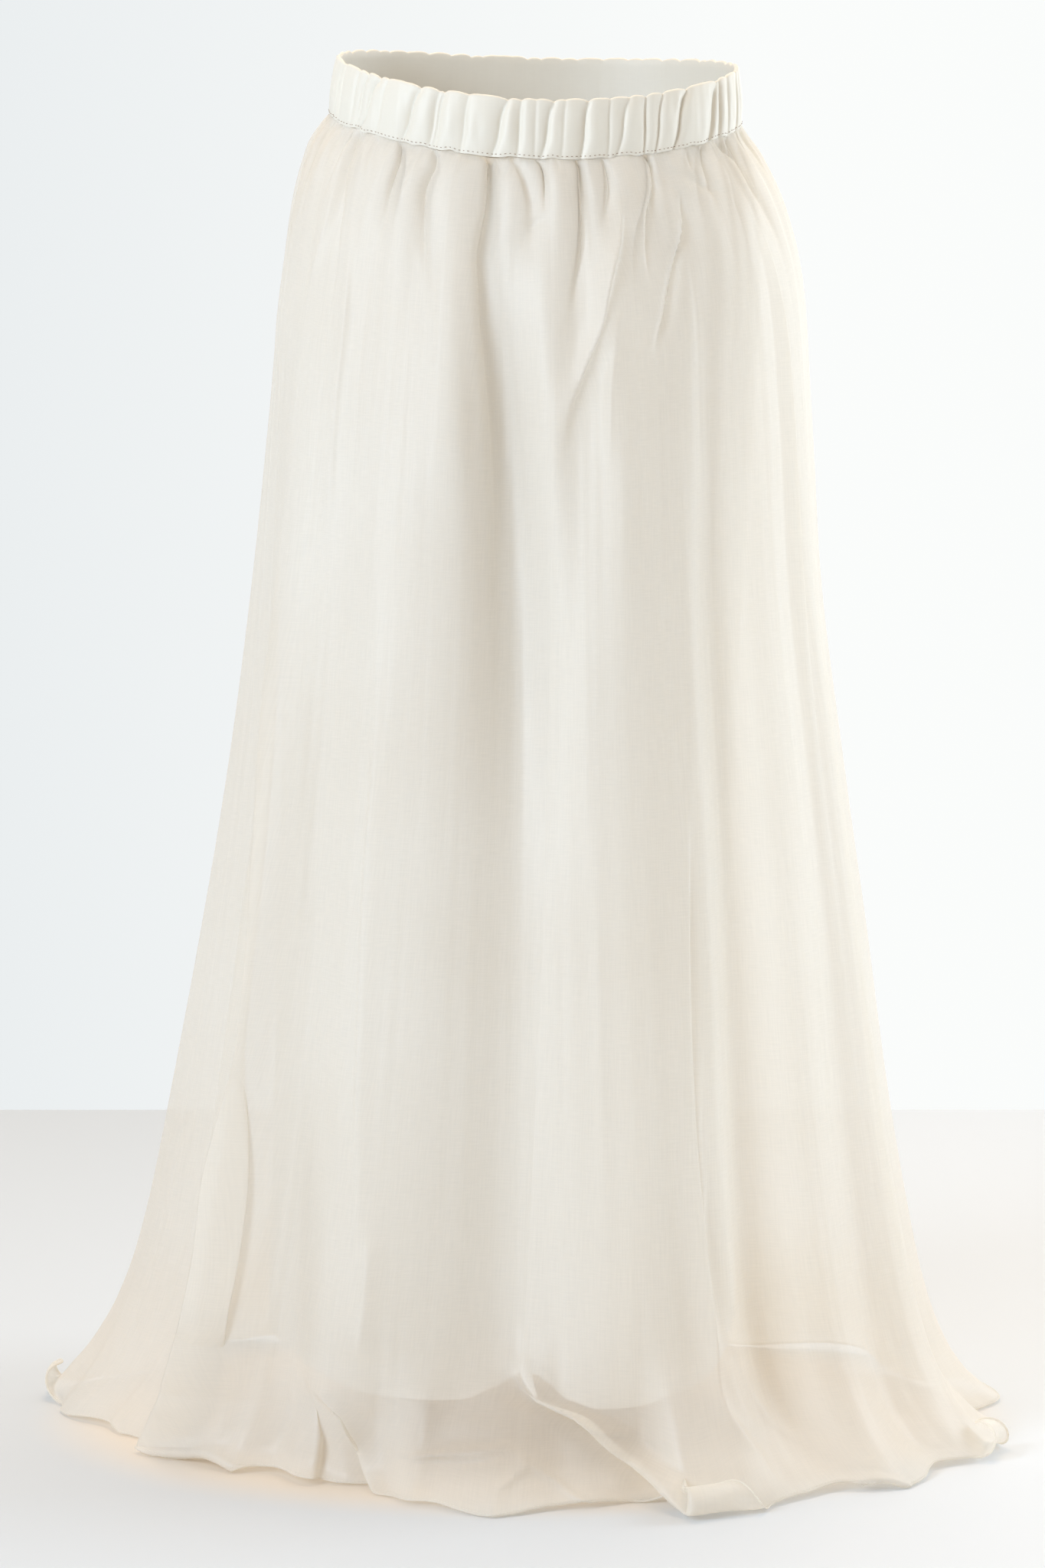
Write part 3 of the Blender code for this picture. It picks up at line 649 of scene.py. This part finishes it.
casing = {
    "foot": (0.1530, 0.1450, 0.1045, 0.1055),   # left, right, front and back, inside, at the seam
    "head": (0.1475, 0.1430, 0.1040, 0.1040),   # at the top edge
    # turn at the top edge, turn at the seam, depth
    "creases": [
        (-50.9, -58.7, 1.0), (-47.3, -50.6, 0.5), (-35.3, -40.7, 1.0), (-29.2, -31.5, 0.5),
        (-27.6, -30.2, 0.9), (-20.2, -22.0, 0.5), (-9.2, -13.4, 1.0), (-5.4, -6.4, 0.8),
        (-1.4, -2.0, 0.4), (3.6, -0.2, 0.9), (6.9, 5.5, 0.4), (13.5, 11.0, 1.0), (19.9, 18.8, 0.6),
        (25.8, 21.4, 0.7), (31.3, 30.1, 1.0), (37.0, 33.9, 0.9), (46.3, 40.1, 1.0),
        (61.3, 55.0, 0.9), (62.9, 61.0, 0.8), (68.5, 66.7, 0.5),
    ],
    "otherCreases": 34,
    "creaseWidth": 1.6,
    "lineWidth": 0.45,
    "puff": 0.0030,
    "lineDepth": 0.0012,
    "topFrill": 0.0036,
    "wrinkle": 0.0004,
    "columnStep": 0.36,
    "rows": 26,
    "rimRows": 6,
    "rimRadius": 0.0016,
}


def allCasingCreases():
    rows = list(casing["creases"])
    tops = [row[0] for row in rows]
    for turn, strength, lean in spreadTurns(casing["otherCreases"], tops, 5, 0.35):
        rows.append((turn + 2.0 + 1.5 * lean, turn - 1.0, strength))
    return rows


def casingOut(turn, share):
    bulge = np.ones_like(turn)
    line = np.zeros_like(turn)
    for top, bottom, depth in allCasingCreases():
        sway = share + 0.10 * np.sin(2 * np.pi * share)
        distance = apart(turn, bottom + (top - bottom) * sway)
        bulge = bulge - depth * sharpHump(distance, casing["creaseWidth"] * 1.3, casing["creaseWidth"] * 0.8)
        line += depth * hump(distance, casing["lineWidth"])
    belly = 0.30 + 0.70 * np.sin(np.pi * np.clip(0.12 + 0.80 * share, 0, 1))
    wrinkle = ringNoise(turn, share * 0.3, 170, 0.12, 9)
    fine = casing["wrinkle"] * wrinkle - casing["lineDepth"] * np.minimum(line, 1.2)
    return (casing["puff"] * np.maximum(0.0, bulge) + fine) * belly


def casingPoint(turn, share, out, rise):
    foot, head = casing["foot"], casing["head"]
    size = [low + (high - low) * share for low, high in zip(foot, head)]
    height = bandMid(turn) + cut["bandHeight"] * (share - 0.5) + rise + seamWave(turn) * (1 - share) ** 3
    return ringPoint(size, turn, out, 0.0, height)


def makeCasing(name, edges, material):
    turns = turnsBetween(edges, casing["columnStep"])
    rim = casing["rimRadius"]
    outer = []
    shares = np.linspace(0, 1, casing["rows"])
    frill = casing["topFrill"] * casingOut(turns, np.ones_like(turns)) / casing["puff"]
    for share in shares:
        puff = casingOut(turns, np.full_like(turns, share))
        lift = frill * smoothStep(0.7, 1.0, share) - rim * smoothStep(0.8, 1.0, share)
        outer.append(casingPoint(turns, share, cut["bandWall"] + puff, lift))
    topOut = cut["bandWall"] + casingOut(turns, np.ones_like(turns))
    over = []
    for number in range(1, casing["rimRows"]):
        angle = math.pi * number / casing["rimRows"]
        out = topOut * (0.5 + 0.5 * math.cos(angle))
        over.append(casingPoint(turns, 1.0, out, frill - rim + rim * math.sin(angle)))
    inner = [casingPoint(turns, share, 0.0 * turns, (frill - rim) * smoothStep(0.7, 1.0, share))
             for share in np.linspace(1, 0, 9)]
    points = np.array(outer + over + inner + outer[:1])[::-1]
    lengths = np.linspace(0, 2 * cut["bandHeight"], len(points))
    return gridPiece(name, points, clothUv(points, lengths), material)


# Materials

def clearMaterial(name):
    material = bpy.data.materials.new(name)
    material.use_nodes = True
    material.node_tree.nodes.clear()
    return material


def addNode(nodes, kind, inputs=None, **settings):
    # a new node, whose inputs are values or the sockets that feed them
    node = nodes.new(kind)
    for name, value in settings.items():
        setattr(node, name, value)
    for key, value in (inputs or {}).items():
        if isinstance(value, bpy.types.NodeSocket):
            nodes.id_data.links.new(value, node.inputs[key])
        else:
            node.inputs[key].default_value = value
    return node


def makeGroup(name, treeKind, inputs, outputs):
    # inputs are rows of label, socket and value, outputs of label and socket
    group = bpy.data.node_groups.new(name, treeKind)
    for label, kind, value in inputs:
        socket = group.interface.new_socket(name=label, in_out="INPUT", socket_type=kind)
        if value is not None:
            socket.default_value = value
    for label, kind in outputs:
        group.interface.new_socket(name=label, in_out="OUTPUT", socket_type=kind)
    return group, group.nodes, group.nodes.new("NodeGroupInput").outputs


def mathNode(nodes, operation, first, second):
    return addNode(nodes, "ShaderNodeMath", {0: first, 1: second}, operation=operation).outputs[0]


def rangeNode(nodes, value, low, high, **settings):
    # 0 at low and 1 at high
    sizes = {"Value": value, "From Min": low, "From Max": high}
    return addNode(nodes, "ShaderNodeMapRange", sizes, **settings).outputs[0]


def mixColors(nodes, share, first, second):
    colors = [(*color, 1) if isinstance(color, tuple) else color for color in (first, second)]
    mixed = addNode(nodes, "ShaderNodeMix", data_type="RGBA")
    links = nodes.id_data.links
    links.new(share, mixed.inputs[0])
    for socket, color in zip((mixed.inputs[6], mixed.inputs[7]), colors):
        if isinstance(color, tuple):
            socket.default_value = color
        else:
            links.new(color, socket)
    return mixed.outputs[2]


def stretchedNoise(nodes, vector, scaleAcross, scaleDown):
    mapping = addNode(nodes, "ShaderNodeMapping", {"Scale": (scaleAcross, scaleDown, 1), "Vector": vector})
    noise = addNode(nodes, "ShaderNodeTexNoise", {"Scale": 1.0, "Detail": 0.0, "Vector": mapping.outputs[0]},
                    noise_dimensions="2D")
    return noise.outputs["Fac"]


def makeThreadGroup():
    # uneven yarns both ways, from the cloth's own map in metres
    inputs = [("Cloth", "NodeSocketVector", (0, 0, 0))]
    outputs = [("Yarns", "NodeSocketFloat")]
    group, nodes, entry = makeGroup("woven threads", "ShaderNodeTree", inputs, outputs)
    down = stretchedNoise(nodes, entry["Cloth"], 1100, 45)
    across = stretchedNoise(nodes, entry["Cloth"], 90, 1300)
    yarns = mathNode(nodes, "MULTIPLY", mathNode(nodes, "ADD", down, across), 0.5)
    addNode(nodes, "NodeGroupOutput", {"Yarns": yarns})
    return group


def makeRumpleGroup():
    # shallow handling creases, in object metres
    inputs = [("Position", "NodeSocketVector", (0, 0, 0)), ("Size", "NodeSocketFloat", 26.0)]
    outputs = [("Height", "NodeSocketFloat"), ("Patches", "NodeSocketFloat")]
    group, nodes, entry = makeGroup("rumpled cloth", "ShaderNodeTree", inputs, outputs)
    upright = addNode(nodes, "ShaderNodeMapping", {"Scale": (1.0, 1.0, 0.34), "Vector": entry["Position"]})
    broad = addNode(nodes, "ShaderNodeTexNoise",
                    {"Detail": 2.0, "Vector": upright.outputs[0], "Scale": entry["Size"]})
    patches = addNode(nodes, "ShaderNodeTexNoise", {"Scale": 7.0, "Detail": 1.0, "Vector": entry["Position"]})
    addNode(nodes, "NodeGroupOutput", {"Height": broad.outputs["Fac"], "Patches": patches.outputs["Fac"]})
    return group


threadGroup = makeThreadGroup()
rumpleGroup = makeRumpleGroup()

clothLooks = {
    "ivory organza": {
        "color": (0.955, 0.94, 0.90), "deeper": (0.92, 0.89, 0.835), "roughness": 0.42, "sheen": 0.25,
        "threadDepth": 0.00001, "rumpleSize": 30.0, "rumpleDepth": 0.0007,
        "glow": (0.97, 0.88, 0.745), "glowShare": 0.36, "cover": 0.56, "yarnCover": 0.07, "layerCover": 0.012,
    },
    "ivory crepe": {
        "color": (0.93, 0.91, 0.87), "deeper": (0.905, 0.875, 0.82), "roughness": 0.5, "sheen": 0.2,
        "threadDepth": 0.00001, "rumpleSize": 16.0, "rumpleDepth": 0.0014,
    },
    "ivory casing": {
        "color": (0.90, 0.86, 0.765), "deeper": (0.87, 0.825, 0.725), "roughness": 0.45, "sheen": 0.25,
        "threadDepth": 0.00002, "rumpleSize": 60.0, "rumpleDepth": 0.0006,
    },
}


def seeThrough(nodes, look, cloth, yarns, normal):
    # part of sheer cloth glows with the light behind it, and the gaps between its yarns are clear
    glow = addNode(nodes, "ShaderNodeBsdfTranslucent", {"Color": (*look["glow"], 1), "Normal": normal})
    lit = addNode(nodes, "ShaderNodeMixShader", {0: look["glowShare"], 1: cloth, 2: glow.outputs[0]})
    layers = addNode(nodes, "ShaderNodeAttribute", attribute_name="layers")
    extra = mathNode(nodes, "MULTIPLY", layers.outputs["Fac"], look["layerCover"])
    uneven = mathNode(nodes, "MULTIPLY", yarns, look["yarnCover"])
    cover = mathNode(nodes, "ADD", uneven, look["cover"] - look["yarnCover"] / 2)
    cover = mathNode(nodes, "ADD", cover, extra)
    clear = addNode(nodes, "ShaderNodeBsdfTransparent")
    whole = addNode(nodes, "ShaderNodeMixShader", {0: cover, 1: clear.outputs[0], 2: lit.outputs[0]})
    return whole.outputs[0]


def makeCloth(name):
    look = clothLooks[name]
    material = clearMaterial(name)
    nodes = material.node_tree.nodes
    clothMap = addNode(nodes, "ShaderNodeUVMap", uv_map="cloth")
    place = addNode(nodes, "ShaderNodeTexCoord")
    threads = addNode(nodes, "ShaderNodeGroup", {"Cloth": clothMap.outputs[0]}, node_tree=threadGroup)
    yarns = threads.outputs["Yarns"]
    rumple = addNode(nodes, "ShaderNodeGroup",
                     {"Size": look["rumpleSize"], "Position": place.outputs["Object"]}, node_tree=rumpleGroup)
    creased = addNode(nodes, "ShaderNodeBump",
                      {"Distance": look["rumpleDepth"], "Height": rumple.outputs["Height"]})
    woven = addNode(nodes, "ShaderNodeBump",
                    {"Distance": look["threadDepth"], "Height": yarns, "Normal": creased.outputs[0]})
    fine = mathNode(nodes, "MULTIPLY", yarns, 0.25)
    broad = mathNode(nodes, "MULTIPLY", rumple.outputs["Patches"], 0.75)
    spread = rangeNode(nodes, mathNode(nodes, "ADD", fine, broad), 0.35, 0.75)
    cloth = addNode(nodes, "ShaderNodeBsdfPrincipled", {
        "Base Color": mixColors(nodes, spread, look["color"], look["deeper"]), "Roughness": look["roughness"],
        "Sheen Weight": look["sheen"], "Sheen Roughness": 0.5, "Normal": woven.outputs[0]})
    surface = cloth.outputs[0]
    if "cover" in look:
        surface = seeThrough(nodes, look, surface, yarns, woven.outputs[0])
    addNode(nodes, "ShaderNodeOutputMaterial", {0: surface})
    return material


def makePlain(name, color, roughness):
    material = clearMaterial(name)
    nodes = material.node_tree.nodes
    surface = addNode(nodes, "ShaderNodeBsdfPrincipled", {"Base Color": (*color, 1), "Roughness": roughness})
    addNode(nodes, "ShaderNodeOutputMaterial", {0: surface.outputs[0]})
    return material


sheer = makeCloth("ivory organza")
crepe = makeCloth("ivory crepe")
band = makeCloth("ivory casing")

outerLength = outerSkirt["sections"][-1][0]
liningLength = lining["sections"][-1][0]


# Sewing

stitching = {
    # pitch, length, radius, unevenness and seed of the rows of stitches
    "waist": {"Pitch": 0.0035, "Length": 0.0015, "Radius": 0.00022, "Unevenness": 0.4, "Seed": 3},
    "hem": {"Pitch": 0.0028, "Length": 0.0020, "Radius": 0.00016, "Unevenness": 0.15, "Seed": 5},
    "waistShare": 0.045,       # of the casing's height over the seam
    "outerHemRise": 0.0030,
    "liningHemRise": 0.0080,
    "lift": 0.0002,            # off the cloth
    # painted shade: the waist thread is coloured dark brown for the shade in its needle holes; the thread
    # itself is ivory
    "shadedWaistThread": (0.36, 0.25, 0.17),
    "hemThread": (0.86, 0.83, 0.76),
}


def makeStitchTree():
    # stitches laid end to end along a chain of edges
    number = "NodeSocketFloat"
    inputs = [("Line", "NodeSocketGeometry", None), ("Pitch", number, 0.003), ("Length", number, 0.002),
              ("Radius", number, 0.0002), ("Unevenness", number, 0.2), ("Seed", "NodeSocketInt", 1),
              ("Thread", "NodeSocketMaterial", None)]
    tree, nodes, entry = makeGroup("row of stitches", "GeometryNodeTree", inputs,
                                   [("Stitches", "NodeSocketGeometry")])
    line = addNode(nodes, "GeometryNodeMeshToCurve", {0: entry["Line"]})
    places = addNode(nodes, "GeometryNodeCurveToPoints", {"Curve": line.outputs[0], "Length": entry["Pitch"]},
                     mode="LENGTH")
    stitch = addNode(nodes, "GeometryNodeMeshCylinder",
                     {"Vertices": 6, "Radius": entry["Radius"], "Depth": entry["Length"]})
    shortest = mathNode(nodes, "SUBTRACT", 1.0, entry["Unevenness"])
    chance = addNode(nodes, "FunctionNodeRandomValue", {2: shortest, "Seed": entry["Seed"]})
    size = addNode(nodes, "ShaderNodeCombineXYZ", {"X": 1.0, "Y": 1.0, "Z": chance.outputs[1]})
    laid = addNode(nodes, "GeometryNodeInstanceOnPoints", {
        "Points": places.outputs["Points"], "Instance": stitch.outputs[0],
        "Rotation": places.outputs["Rotation"], "Scale": size.outputs[0]})
    real = addNode(nodes, "GeometryNodeRealizeInstances", {0: laid.outputs[0]})
    colored = addNode(nodes, "GeometryNodeSetMaterial",
                      {"Geometry": real.outputs[0], "Material": entry["Thread"]})
    addNode(nodes, "NodeGroupOutput", {0: colored.outputs[0]})
    return tree


stitchTree = makeStitchTree()
# painted shade: the waist stitches' material is dark for the shade in their needle holes
shadedWaistThread = makePlain("thread with painted hole shade", stitching["shadedWaistThread"], 0.6)
hemThread = makePlain("ivory thread", stitching["hemThread"], 0.6)


def liftedLine(shape, turns, cloth):
    # a line over the cloth, lifted off its outer face
    across = shape(turns + 0.05, cloth) - shape(turns - 0.05, cloth)
    down = shape(turns, cloth + 0.0005) - shape(turns, cloth - 0.0005)
    outward = np.cross(down, across)
    return shape(turns, cloth) + stitching["lift"] * outward / np.linalg.norm(outward, axis=-1, keepdims=True)


def sew(name, points, sizes, thread):
    mesh = bpy.data.meshes.new(name + "_line")
    mesh.from_pydata(points.tolist(), [(number, number + 1) for number in range(len(points) - 1)], [])
    row = bpy.data.objects.new(name, mesh)
    bpy.context.scene.collection.objects.link(row)
    laying = row.modifiers.new("stitches", "NODES")
    laying.node_group = stitchTree
    values = dict(sizes, Thread=thread)
    for socket in stitchTree.interface.items_tree:
        if socket.in_out == "INPUT" and socket.name in values:
            laying[socket.identifier] = values[socket.name]
    finished = bpy.data.meshes.new_from_object(row.evaluated_get(bpy.context.evaluated_depsgraph_get()))
    row.modifiers.clear()
    row.data = finished
    finished.name = name
    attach(row, "root")
    return row


def sewHem(name, shape, edges, length, rise):
    turns = turnsBetween(edges, 0.25)
    share = (length - rise) / length
    start, end = seamTurn(edges[0], share), seamTurn(edges[1], share)
    turns = start + (end - start) * np.linspace(0.002, 0.998, len(turns))
    line = liftedLine(shape, turns, np.full_like(turns, length - rise))
    return sew(name, line, stitching["hem"], hemThread)


def sewCasing(name, edges):
    share = stitching["waistShare"]
    turns = turnsBetween((edges[0] + 0.3, edges[1] - 0.3), 0.2)
    out = cut["bandWall"] + casingOut(turns, np.full_like(turns, share)) + stitching["lift"]
    return sew(name, casingPoint(turns, share, out, 0.0), stitching["waist"], shadedWaistThread)


# The lining's seam allowance, which hangs out under its notched hem

seamTail = {
    "path": [
        (-0.0135, -0.165, -0.882), (-0.0125, -0.166, -0.905), (-0.0090, -0.168, -0.921),
        (-0.0040, -0.170, -0.931),
    ],
    "halfWidths": [0.0045, 0.0045, 0.0034, 0.0012],
    "cup": 0.0015,
}


def makeTail(name, material):
    places = np.linspace(0, 3, 25)
    path = np.array([curveThrough(range(4), [point[axis] for point in seamTail["path"]], places)
                     for axis in range(3)]).T
    half = curveThrough(range(4), seamTail["halfWidths"], places)
    across = np.linspace(-1, 1, 7)
    points = path[:, None, :] + 0 * across[None, :, None]
    points[..., 0] += half[:, None] * across
    points[..., 1] -= seamTail["cup"] * (1 - across ** 2)
    lengths = places * 0.016
    return gridPiece(name, points, clothUv(points, lengths), material)


def showCloth(piece, node, withPieces):
    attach(piece, "root")
    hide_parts(node)


panels = {"front_left": frontLeft, "front_right": frontRight, "back": back}

for name, edges in panels.items():
    step = outerSkirt["backColumnStep"] if name == "back" else outerSkirt["columnStep"]
    panel = makePanel("sheer_" + name, outerShape, outerSkirt, outerLength, edges, step, sheer)
    hemRow = sewHem("outer_hem_stitches_" + name, outerShape, edges, outerLength, stitching["outerHemRise"])
    showCloth(panel, "skirt_" + name, [hemRow])
print("outer skirt done")
for name, edges in panels.items():
    step = lining["columnStep"]
    panel = makePanel("lining_cloth_" + name, liningShape, lining, liningLength, edges, step, crepe)
    rise = stitching["liningHemRise"]
    sewn = [sewHem("lining_hem_stitches_" + name, liningShape, edges, liningLength, rise)]
    if name == "front_left":
        tail = makeTail("lining_seam_tail", crepe)
        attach(tail, "root")
        sewn.append(tail)
    showCloth(panel, "lining_" + name, sewn)
print("lining done")
for name, edges in (("front", (cut["leftSeam"], cut["rightSeam"])), ("back", back)):
    bandPiece = makeCasing("casing_" + name, edges, band)
    showCloth(bandPiece, "waistband_" + name, [sewCasing("waist_stitches_" + name, edges)])
print("casing done")


# Floor, light and camera

stageSizes = {
    "floorFar": 1.36,
    "floorNear": -2.6,
    "floorHalfWidth": 3.0,
    # painted light: the floor colour runs from darker on the left to lighter on the right, as the light falls
    # on it
    "floorLeftPaintedShade": (0.70, 0.73, 0.77),
    "floorRightPaintedLight": (0.80, 0.83, 0.87),
    # painted shade: the floor colour turns darker and warmer under the skirt, for the skirt's shadow
    "paintedSkirtShade": (0.90, 0.80, 0.69),             # the floor in the skirt's own shade
    "skirtPlan": (-0.012, 0.012, 0.350, 0.272),   # middle and half sizes of that shade
    "shadeFade": (1.10, 0.84),                    # where it starts and is full, of the half sizes
}


def makeFloor():
    material = makePlain("pale floor", stageSizes["floorLeftPaintedShade"], 0.55)
    nodes = material.node_tree.nodes
    place = addNode(nodes, "ShaderNodeTexCoord").outputs["Object"]
    axes = addNode(nodes, "ShaderNodeSeparateXYZ", {0: place})
    # painted light: darker floor colour on the left, lighter on the right
    across = rangeNode(nodes, axes.outputs["X"], -0.35, 0.45)
    tone = mixColors(nodes, across, stageSizes["floorLeftPaintedShade"], stageSizes["floorRightPaintedLight"])
    # painted shade: inside the skirt's outline the floor colour is mixed towards a darker, warmer tone, for
    # the skirt's shadow
    middleX, middleY, halfX, halfY = stageSizes["skirtPlan"]
    plan = addNode(nodes, "ShaderNodeMapping", {
        "Location": (-middleX / halfX, -middleY / halfY, 0), "Scale": (1 / halfX, 1 / halfY, 0),
        "Vector": place})
    reach = addNode(nodes, "ShaderNodeVectorMath", {0: plan.outputs[0]}, operation="LENGTH")
    fade = rangeNode(nodes, reach.outputs["Value"], *stageSizes["shadeFade"], interpolation_type="SMOOTHSTEP")
    floorWithPaintedShade = mixColors(nodes, fade, tone, stageSizes["paintedSkirtShade"])
    material.node_tree.links.new(floorWithPaintedShade, nodes["Principled BSDF"].inputs["Base Color"])
    z = -cut["floorDrop"]
    far, near, half = stageSizes["floorFar"], stageSizes["floorNear"], stageSizes["floorHalfWidth"]
    mesh = bpy.data.meshes.new("floor")
    mesh.from_pydata([(-half, near, z), (half, near, z), (half, far, z), (-half, far, z)], [], [(0, 1, 2, 3)])
    mesh.materials.append(material)
    floor = bpy.data.objects.new("floor", mesh)
    bpy.context.scene.collection.objects.link(floor)


makeFloor()

studio = {
    "wallLeft": (0.83, 0.86, 0.87),
    "wallRight": (0.96, 0.975, 0.965),
    "brightSide": (0.45, 0.89, 0),        # where most of the light behind comes from
    "fillBehind": (0.80, 0.85, 0.86),     # light from the wall behind the garment
    "fillBefore": (0.350, 0.275, 0.195),  # and from the room before it
}


def makeWorld():
    # the wall that the camera sees, and the soft light that comes from all round
    world = bpy.data.worlds.new("studio")
    bpy.context.scene.world = world
    world.use_nodes = True
    nodes = world.node_tree.nodes
    nodes.clear()
    direction = addNode(nodes, "ShaderNodeTexCoord").outputs["Generated"]
    axes = addNode(nodes, "ShaderNodeSeparateXYZ", {0: direction})
    sideways = rangeNode(nodes, axes.outputs["X"], -0.14, 0.06)
    wall = mixColors(nodes, sideways, studio["wallLeft"], studio["wallRight"])
    seen = addNode(nodes, "ShaderNodeBackground", {"Color": wall})
    towards = addNode(nodes, "ShaderNodeVectorMath", {0: direction, 1: studio["brightSide"]},
                      operation="DOT_PRODUCT")
    depth = rangeNode(nodes, towards.outputs["Value"], -0.6, 0.6)
    fillTone = mixColors(nodes, depth, studio["fillBefore"], studio["fillBehind"])
    fill = addNode(nodes, "ShaderNodeBackground", {"Color": fillTone})
    path = addNode(nodes, "ShaderNodeLightPath")
    mixed = addNode(nodes, "ShaderNodeMixShader",
                    {0: path.outputs["Is Camera Ray"], 1: fill.outputs[0], 2: seen.outputs[0]})
    addNode(nodes, "ShaderNodeOutputWorld", {0: mixed.outputs[0]})


makeWorld()


def softLight(name, place, target, width, height, power, color):
    light = bpy.data.lights.new(name, "AREA")
    light.shape = "RECTANGLE"
    light.size = width
    light.size_y = height
    light.energy = power
    light.color = color
    lamp = bpy.data.objects.new(name, light)
    lamp.location = place
    lamp.rotation_euler = (Vector(target) - Vector(place)).to_track_quat("-Z", "Y").to_euler()
    bpy.context.scene.collection.objects.link(lamp)
    return lamp


softLight("key", (-2.4, -2.5, 0.9), (0, 0, -0.55), 1.5, 2.0, 90, (0.71, 0.85, 1.0))
softLight("side", (3.0, 0.6, 0.4), (0, 0, -0.5), 1.5, 2.0, 47, (0.78, 0.89, 1.0))
softLight("rear", (1.8, 2.8, 0.6), (0.1, 0, -0.5), 1.5, 2.0, 11, (1.0, 0.95, 0.92))
softLight("top", (0.0, 0.4, 2.6), (0, 0, -0.45), 1.5, 2.0, 44, (1.0, 0.70, 0.40))

camera = bpy.data.cameras.new("camera")
camera.lens = 85
camera.sensor_fit = "VERTICAL"
camera.sensor_height = 36
camera.clip_end = 50
cameraObject = bpy.data.objects.new("camera", camera)
cameraObject.location = (-0.0135, -2.774, -0.27)
cameraObject.rotation_euler = (math.radians(90 - 4.85), 0, 0)
bpy.context.scene.collection.objects.link(cameraObject)
bpy.context.scene.camera = cameraObject
bpy.context.scene.view_settings.view_transform = "Standard"
